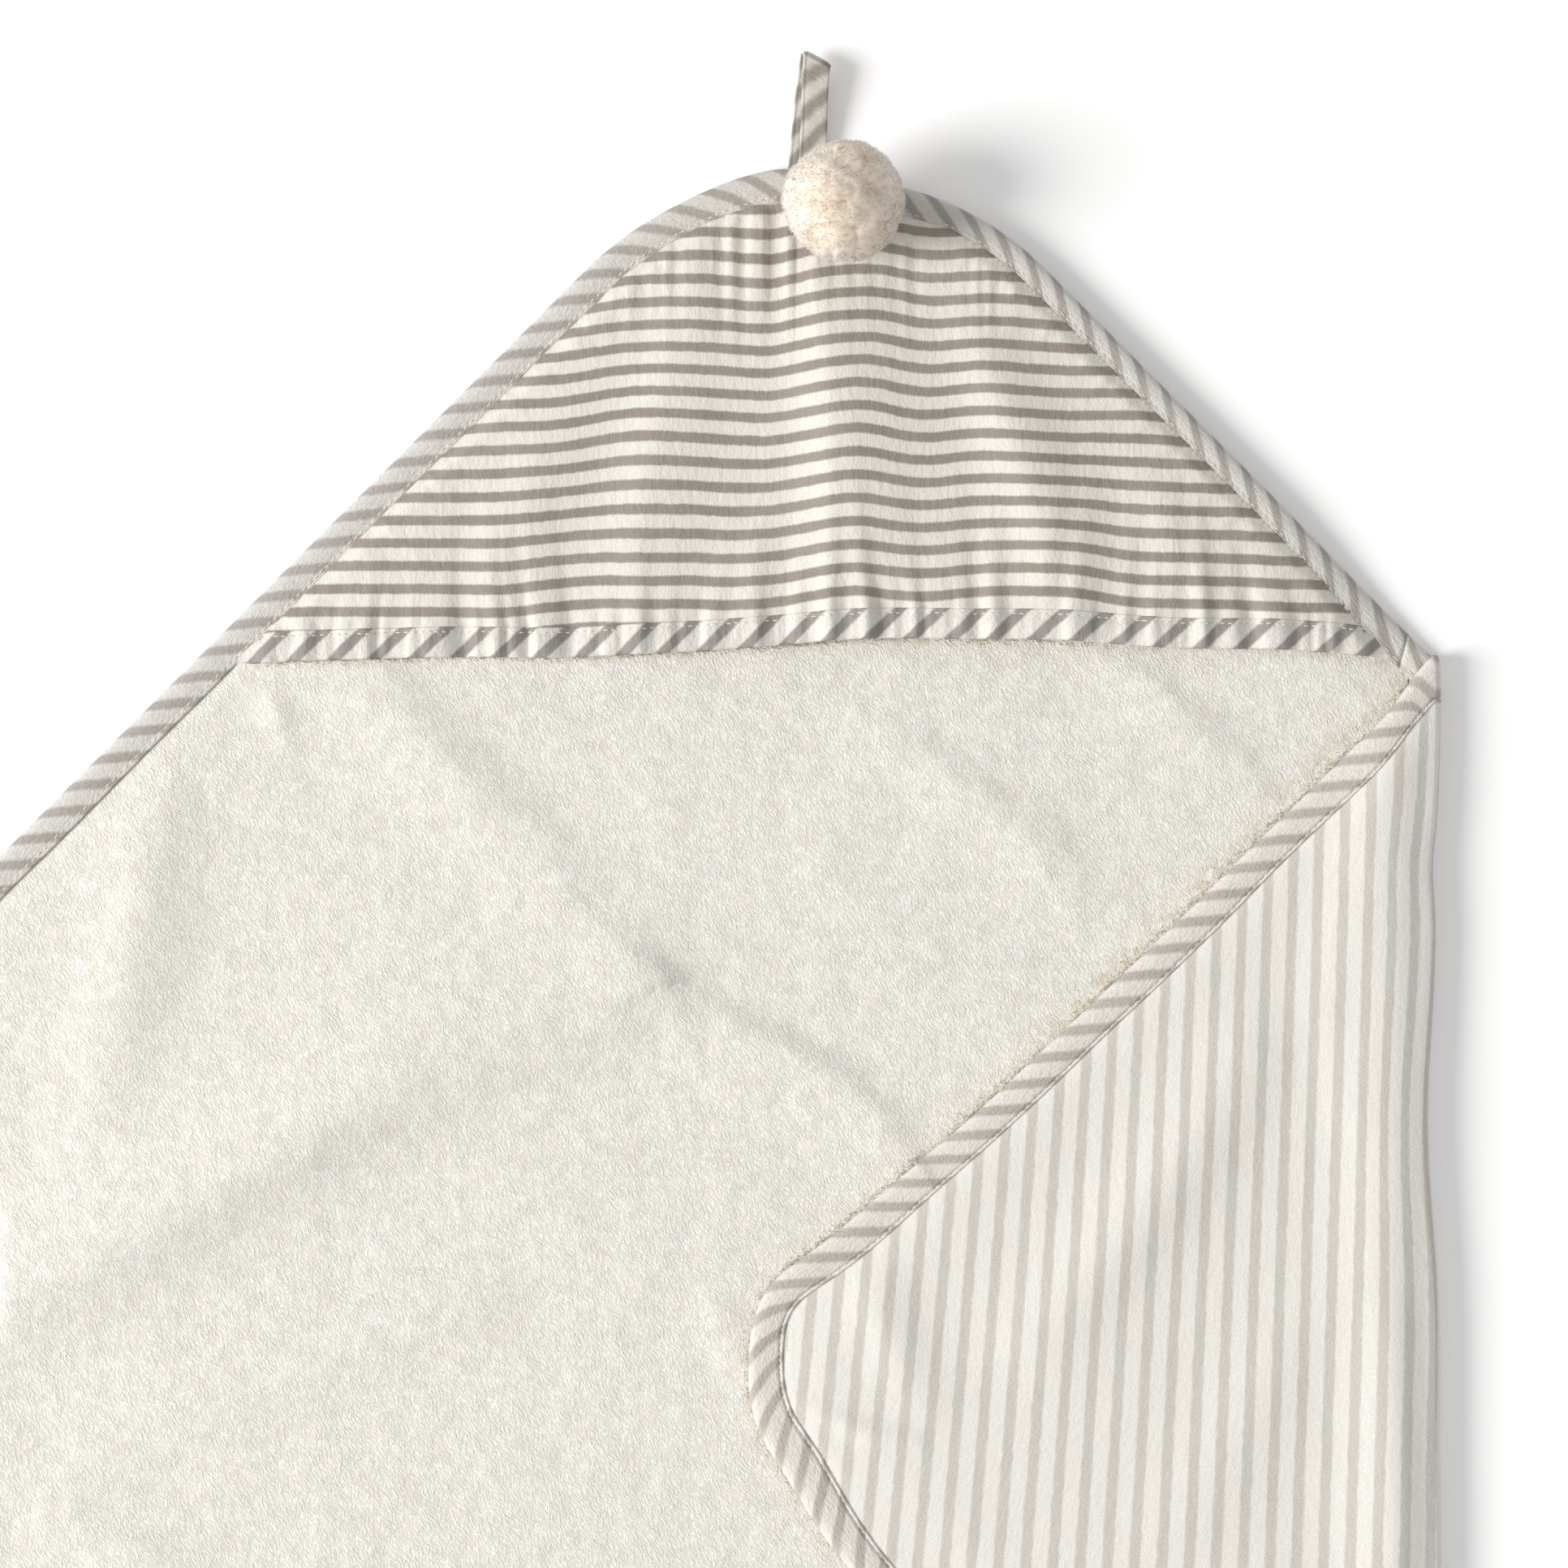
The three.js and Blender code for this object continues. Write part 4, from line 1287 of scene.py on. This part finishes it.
def terry_material():
    """Uncut loops of pile, close set and leaning slightly, in warm white."""
    look = Look("terry_pile")
    uvw = look.attribute("uvw")
    drift = look.noise(uvw, scale=0.35, rough=0.6, output="Color")
    at = look.vector("ADD", uvw, look.stretch(drift, (2.2, 2.2, 0.0)))
    turned = look.node("ShaderNodeVectorRotate", {"Vector": at, "Angle": math.radians(-34)})
    # one loop of pile is 0.68 by 1.75 mm
    at = look.stretch(turned.outputs[0], (1 / 0.68, 1 / 1.75, 1.0))
    jitter = look.noise(uvw, scale=2.6, rough=0.7, output="Color")
    at = look.vector("ADD", at, look.stretch(jitter, (0.8, 0.6, 0.0)))
    cells = look.node("ShaderNodeTexVoronoi", {}, feature="SMOOTH_F1")
    for key, value in {"Vector": at, "Scale": 1.0, "Smoothness": 0.35, "Randomness": 1.0}.items():
        look.put(cells.inputs[key], value)
    loops = look.ramp(cells.outputs["Distance"], span=(0.1, 0.8), to=(1.0, 0.0))
    small = look.noise(look.stretch(uvw, (2.3, 1.3, 1.0)), scale=1.0, detail=3.0, rough=0.65)
    small = look.ramp(small, span=(0.3, 0.7))
    height = look.add(look.times(loops, 0.65), look.times(small, 0.35))
    clump = look.noise(uvw, scale=0.13, detail=3.0, rough=0.62)
    patchy = look.noise(uvw, scale=0.32, rough=0.6)
    # painted shade: the hollows between the loops are darker and warmer than the loop tops
    pale, middle, hollow_shade = rgb(250, 249, 246), rgb(242, 239, 231), rgb(235, 229, 217)
    color = look.mix(look.ramp(height, span=(0.22, 0.72)), hollow_shade, pale)
    color = look.mix(look.times(look.ramp(clump, span=(0.35, 0.75)), 0.3), color, middle)
    # painted shade: darker, ragged tan patches on the pile along the folded corner's edge and at the hood's
    # hem
    painted_shade = look.attribute("painted_shade", output="Fac")
    broad = look.noise(uvw, scale=0.07)
    ragged = look.times(look.ramp(patchy, span=(0.36, 0.66)),
                        look.ramp(broad, span=(0.36, 0.6), to=(0.3, 1.0)))
    shade_share = look.times(look.times(painted_shade, ragged), 0.72)
    color = look.mix(shade_share, color, rgb(220, 209, 187))
    # the pile stands up in some places and lies flat in others
    stand = look.noise(uvw, scale=0.16, detail=3.0, rough=0.65)
    stand = look.ramp(stand, span=(0.35, 0.68), to=(0.6, 1.15))
    normal = look.bump(look.times(height, stand), distance=0.00061, strength=0.8)
    lumps = look.noise(uvw, scale=0.5, detail=3.0, rough=0.6)
    normal = look.bump(lumps, distance=0.0005, strength=0.5, normal=normal)
    return look.done(color, normal)


def thread_material(name, color):
    look = Look(name)
    inputs = {"Vector": look.object_place(), "Scale": 900.0, "Distortion": 1.5}
    twist = look.node("ShaderNodeTexWave", inputs, bands_direction="DIAGONAL").outputs["Fac"]
    dark = rgb(*[c - 16 for c in color])
    mixed = look.mix(look.times(twist, 0.5), dark, rgb(*color))
    return look.done(mixed, look.bump(twist, distance=0.00008, strength=0.6), rough=0.7)


def fur_material(name, strand):
    """Plush in patches of cream and tan, for the pile's strands or the ball beneath."""
    look = Look(name)
    uvw = look.attribute("uvw")
    patch = look.noise(uvw, scale=0.085)
    small = look.noise(uvw, scale=0.45, rough=0.6)
    base, tan, light = rgb(241, 231, 217), rgb(234, 219, 201), rgb(245, 238, 227)
    color = look.mix(look.ramp(patch, span=(0.4, 0.66)), base, tan)
    color = look.mix(look.ramp(small, span=(0.5, 0.8), to=(0.0, 0.7)), color, light)
    if strand:
        tip = look.attribute("tip", output="Fac")
        root_share = look.ramp(tip, span=(0.0, 0.7), to=(0.10, 0.0))
        color = look.mix(root_share, color, rgb(232, 217, 198))
    else:
        color = look.mix(0.08, color, rgb(234, 219, 200))
    hair = look.noise(uvw, scale=1.4, detail=3.0, rough=0.7)
    # light goes a little way into the pile
    look.shader.inputs["Subsurface Weight"].default_value = 0.85
    look.shader.inputs["Subsurface Scale"].default_value = 0.007
    look.shader.inputs["Subsurface Radius"].default_value = (1.0, 0.85, 0.7)
    return look.done(color, look.bump(hair, distance=0.0003, strength=0.5), sheen=0.12)


def fibre_material():
    look = Look("pulled_pile")
    patches = look.noise(look.attribute("uvw"), scale=0.5, rough=0.6)
    share = look.ramp(patches, span=(0.35, 0.7))
    return look.done(look.mix(share, rgb(234, 225, 207), rgb(247, 243, 234)), sheen=0.2)


def filling_material():
    look = Look("filling")
    uvw = look.attribute("uvw")
    mottle = look.noise(uvw, scale=4.0, detail=3.0, rough=0.6)
    color = look.mix(mottle, rgb(236, 232, 225), rgb(222, 216, 206))
    fluff = look.noise(uvw, scale=9.0, detail=3.0, rough=0.7)
    return look.done(color, look.bump(fluff, distance=0.0008, strength=0.6))


def floor_material():
    look = Look("floor_white")
    mottle = look.noise(look.object_place(), scale=3.0)
    material = look.done(look.mix(mottle, rgb(252, 252, 252), rgb(254, 254, 254)), rough=0.9)
    look.shader.inputs["Emission Color"].default_value = (1, 1, 1, 1)
    look.shader.inputs["Emission Strength"].default_value = 0.075
    return material


TERRY = terry_material()
BACKING = striped("backing_stripes", ground=(237, 234, 228), stripe=(217, 211, 202),
                  duty=0.41, wobble=0.075, soft=0.06, crinkle=0.14)
HOOD = striped("hood_stripes", ground=(230, 226, 217), stripe=(158, 149, 140),
               duty=0.44, wobble=0.05, soft=0.06, crinkle=0.28)
BINDING = striped("binding_stripes", ground=(217, 214, 208), stripe=(181, 174, 167),
                  duty=0.40, wobble=0.06, soft=0.09)
CORNER_BINDING = striped("corner_binding_stripes", ground=(226, 222, 215),
                         stripe=(192, 185, 177), duty=0.40, wobble=0.06, soft=0.09)
HEM = striped("hem_binding_stripes", ground=(228, 224, 217), stripe=(158, 152, 148),
              duty=0.38, wobble=0.045, soft=0.06)
LOOP = striped("loop_stripes", ground=(207, 203, 195), stripe=(159, 152, 143),
               duty=0.48, wobble=0.10, soft=0.15)
THREAD = thread_material("cream_thread", color=(241, 236, 227))
FUR = fur_material("plush", strand=True)
FUR_GROUND = fur_material("plush_ground", strand=False)
CORD = thread_material("tie_cord", color=(228, 217, 200))
FILLING = filling_material()
TUFT = fibre_material()


def finish_piece(piece, material, slot, *replaced, body=None):
    piece.data.materials.append(material)
    if replaced:
        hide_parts(*replaced)
    if body:
        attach(piece, body)


def finish_backing(piece, replaced, body=None):
    """Stripes follow the flat cloth, or where the folded corner lies at rest."""
    uvw, at = read_vectors(piece, "uvw"), read_vectors(piece, "position") * 1000
    flat, y = uvw[:, 0], uvw[:, 1]
    x = np.where(flat > FOLD_X + ROLL / 2, 2 * FOLD_X + ROLL - flat, flat)
    on_flap = smooth((flat - FOLD_X - ROLL) / 30)
    x = x * (1 - on_flap) + at[:, 0] * on_flap
    y = y * (1 - on_flap) + at[:, 1] * on_flap
    lean = np.radians(1.4 + 4.2 * smooth((FOLD_X - x) / 270))
    pitch = 10.35
    add_floats(piece, "phase", (x - (y - 60) * np.tan(lean)) / pitch + 0.35)
    finish_piece(piece, BACKING, "backing", replaced, body=body)


# ---- the towel's cloth ----
finish_piece(terry_field(), TERRY, "terry", "terry_panel", body="towel")
finish_backing(backing_field(), "backing_panel", body="towel")
for corner in ("left_corner", "bottom_corner"):
    finish_piece(flat_corner(corner + "_towelling", corner, terry=True), TERRY, "terry",
                 "terry_" + corner)
    finish_backing(flat_corner(corner + "_backing_cloth", corner, terry=False),
                   "backing_" + corner)
finish_piece(folded_corner("right_corner_towelling", terry=True), TERRY, "terry",
             "terry_right_corner")
finish_backing(folded_corner("right_corner_backing_cloth", terry=False), "backing_right_corner")

# ---- its edge binding ----
BINDING_PITCH = 15.4
BINDING_SLANT = -1.2  # the strip is cut on the bias, so its stripes slip along it
# Each run: name, which is also its joint at a corner, and its arc lengths
RUNS = [
    ("top", RIGHT_UPPER_SEAM, LEFT_UPPER_SEAM),
    ("lower_left", LEFT_LOWER_SEAM, BOTTOM_LEFT_SEAM),
    ("lower_right", BOTTOM_RIGHT_SEAM, RIGHT_LOWER_SEAM),
    ("left_corner", LEFT_UPPER_SEAM, LEFT_LOWER_SEAM),
    ("bottom_corner", BOTTOM_LEFT_SEAM, BOTTOM_RIGHT_SEAM),
    ("right_corner", RIGHT_LOWER_SEAM, RIGHT_UPPER_SEAM + OUTLINE_LENGTH),
]
for run, start, end in RUNS:
    tape, tape_weights = binding_piece(run + "_edge_tape", start, end)
    stitches, stitch_weights = stitch_piece(run + "_edge_stitches", start, end)
    uvw = read_vectors(tape, "uvw")
    slip = BINDING_SLANT * (uvw[:, 1] - NOSE_ACROSS)
    add_floats(tape, "phase", (uvw[:, 0] + slip) / BINDING_PITCH)
    body = None if run in BENDS else "towel"
    if run == "right_corner":
        bend(tape, run, tape_weights)
        bend(stitches, run, stitch_weights)
    elif run in BENDS:
        bend(tape, run, corner_weights(tape, run))
        bend(stitches, run, corner_weights(stitches, run))
    tape_material = CORNER_BINDING if run == "right_corner" else BINDING
    finish_piece(tape, tape_material, "binding", "edge_binding_" + run, body=body)
    finish_piece(stitches, THREAD, "thread", "edge_stitch_" + run, body=body)

# ---- the hood ----
piece = hood_panel("hood_cloth", lower=0.0, upper=0.55, step=1.7)
x, y, _ = read_vectors(piece, "uvw").T
add_floats(piece, "phase", (y - 313.2 - stripe_sway(x, y)) / 9.3 + 0.5)
finish_piece(piece, HOOD, "hood", "hood_panel")
finish_piece(hood_panel("hood_towelling_lining", lower=-1.5, upper=-0.25, step=3.0), TERRY,
             "terry", "hood_lining")
piece = hem_binding()
x, y, _ = read_vectors(piece, "uvw").T
add_floats(piece, "phase", (x - 1.05 * y) / 16.6 + 0.2)
finish_piece(piece, HEM, "binding", "hood_hem_binding")
finish_piece(hem_stitches(), THREAD, "thread", "hood_hem_stitch")

# ---- loop, pom-pom and loose pile ----
piece = loop_strip()
x, y, _ = read_vectors(piece, "uvw").T
add_floats(piece, "phase", (x - 0.9 * y) / 13.0)
bend(piece, "loop")
finish_piece(piece, LOOP, "binding", "hanging_loop")
finish_piece(bartack(), THREAD, "thread", "loop_bartack", body="towel")
finish_piece(pompom_ball(), FUR_GROUND, "fur", "pompom_shell", body="pompom")
finish_piece(pompom_pile(), FUR, "fur", body="pompom")
finish_piece(pompom_core(), FILLING, "stuffing", "pompom_stuffing", body="pompom")
finish_piece(pompom_cord(), CORD, "thread", "pompom_tie", body="pompom_shank")
finish_piece(pulled_loops(), TUFT, "terry", body="towel")


# ---- floor, light and camera, in metres ----
def add_to_scene(name, data):
    thing = bpy.data.objects.new(name, data)
    bpy.context.scene.collection.objects.link(thing)
    return thing


def add_floor(reach=6.0, z=-0.0004):
    mesh = bpy.data.meshes.new("floor")
    corners = [(-reach, -reach, z), (reach, -reach, z), (reach, reach, z), (-reach, reach, z)]
    mesh.from_pydata(corners, [], [(0, 1, 2, 3)])
    floor = add_to_scene("floor", mesh)
    mesh.materials.append(floor_material())


def add_world(strength=0.53):
    world = bpy.data.worlds.new("studio")
    bpy.context.scene.world = world
    world.use_nodes = True
    background = world.node_tree.nodes["Background"]
    background.inputs["Color"].default_value = (1.0, 1.0, 1.0, 1.0)
    background.inputs["Strength"].default_value = strength


def add_window(distance=6.0):
    """A large round light from the left."""
    light = bpy.data.lights.new("window", "AREA")
    light.shape = "DISK"
    light.size = 3.1
    light.energy = 386.0
    light.color = (1.0, 0.99, 0.972)
    lamp = add_to_scene("window", light)
    aim = Vector((-1.0, -0.16, 0.60)).normalized()
    lamp.location = Vector((0.0, 0.2, 0.0)) + aim * distance
    lamp.rotation_euler = aim.to_track_quat("Z", "Y").to_euler()


def add_camera():
    """Looks straight down on the hood and the folded corner."""
    camera = bpy.data.cameras.new("camera")
    camera.lens = 85
    camera.sensor_width = 36
    camera.clip_end = 20
    eye = add_to_scene("camera", camera)
    eye.location = (-0.0125, 0.2377, 1.5027)
    eye.rotation_euler = (0, 0, 0)
    bpy.context.scene.camera = eye


add_floor()
add_world()
add_window()
add_camera()
bpy.context.scene.view_settings.view_transform = "Standard"
bpy.context.scene.view_settings.exposure = 0.0
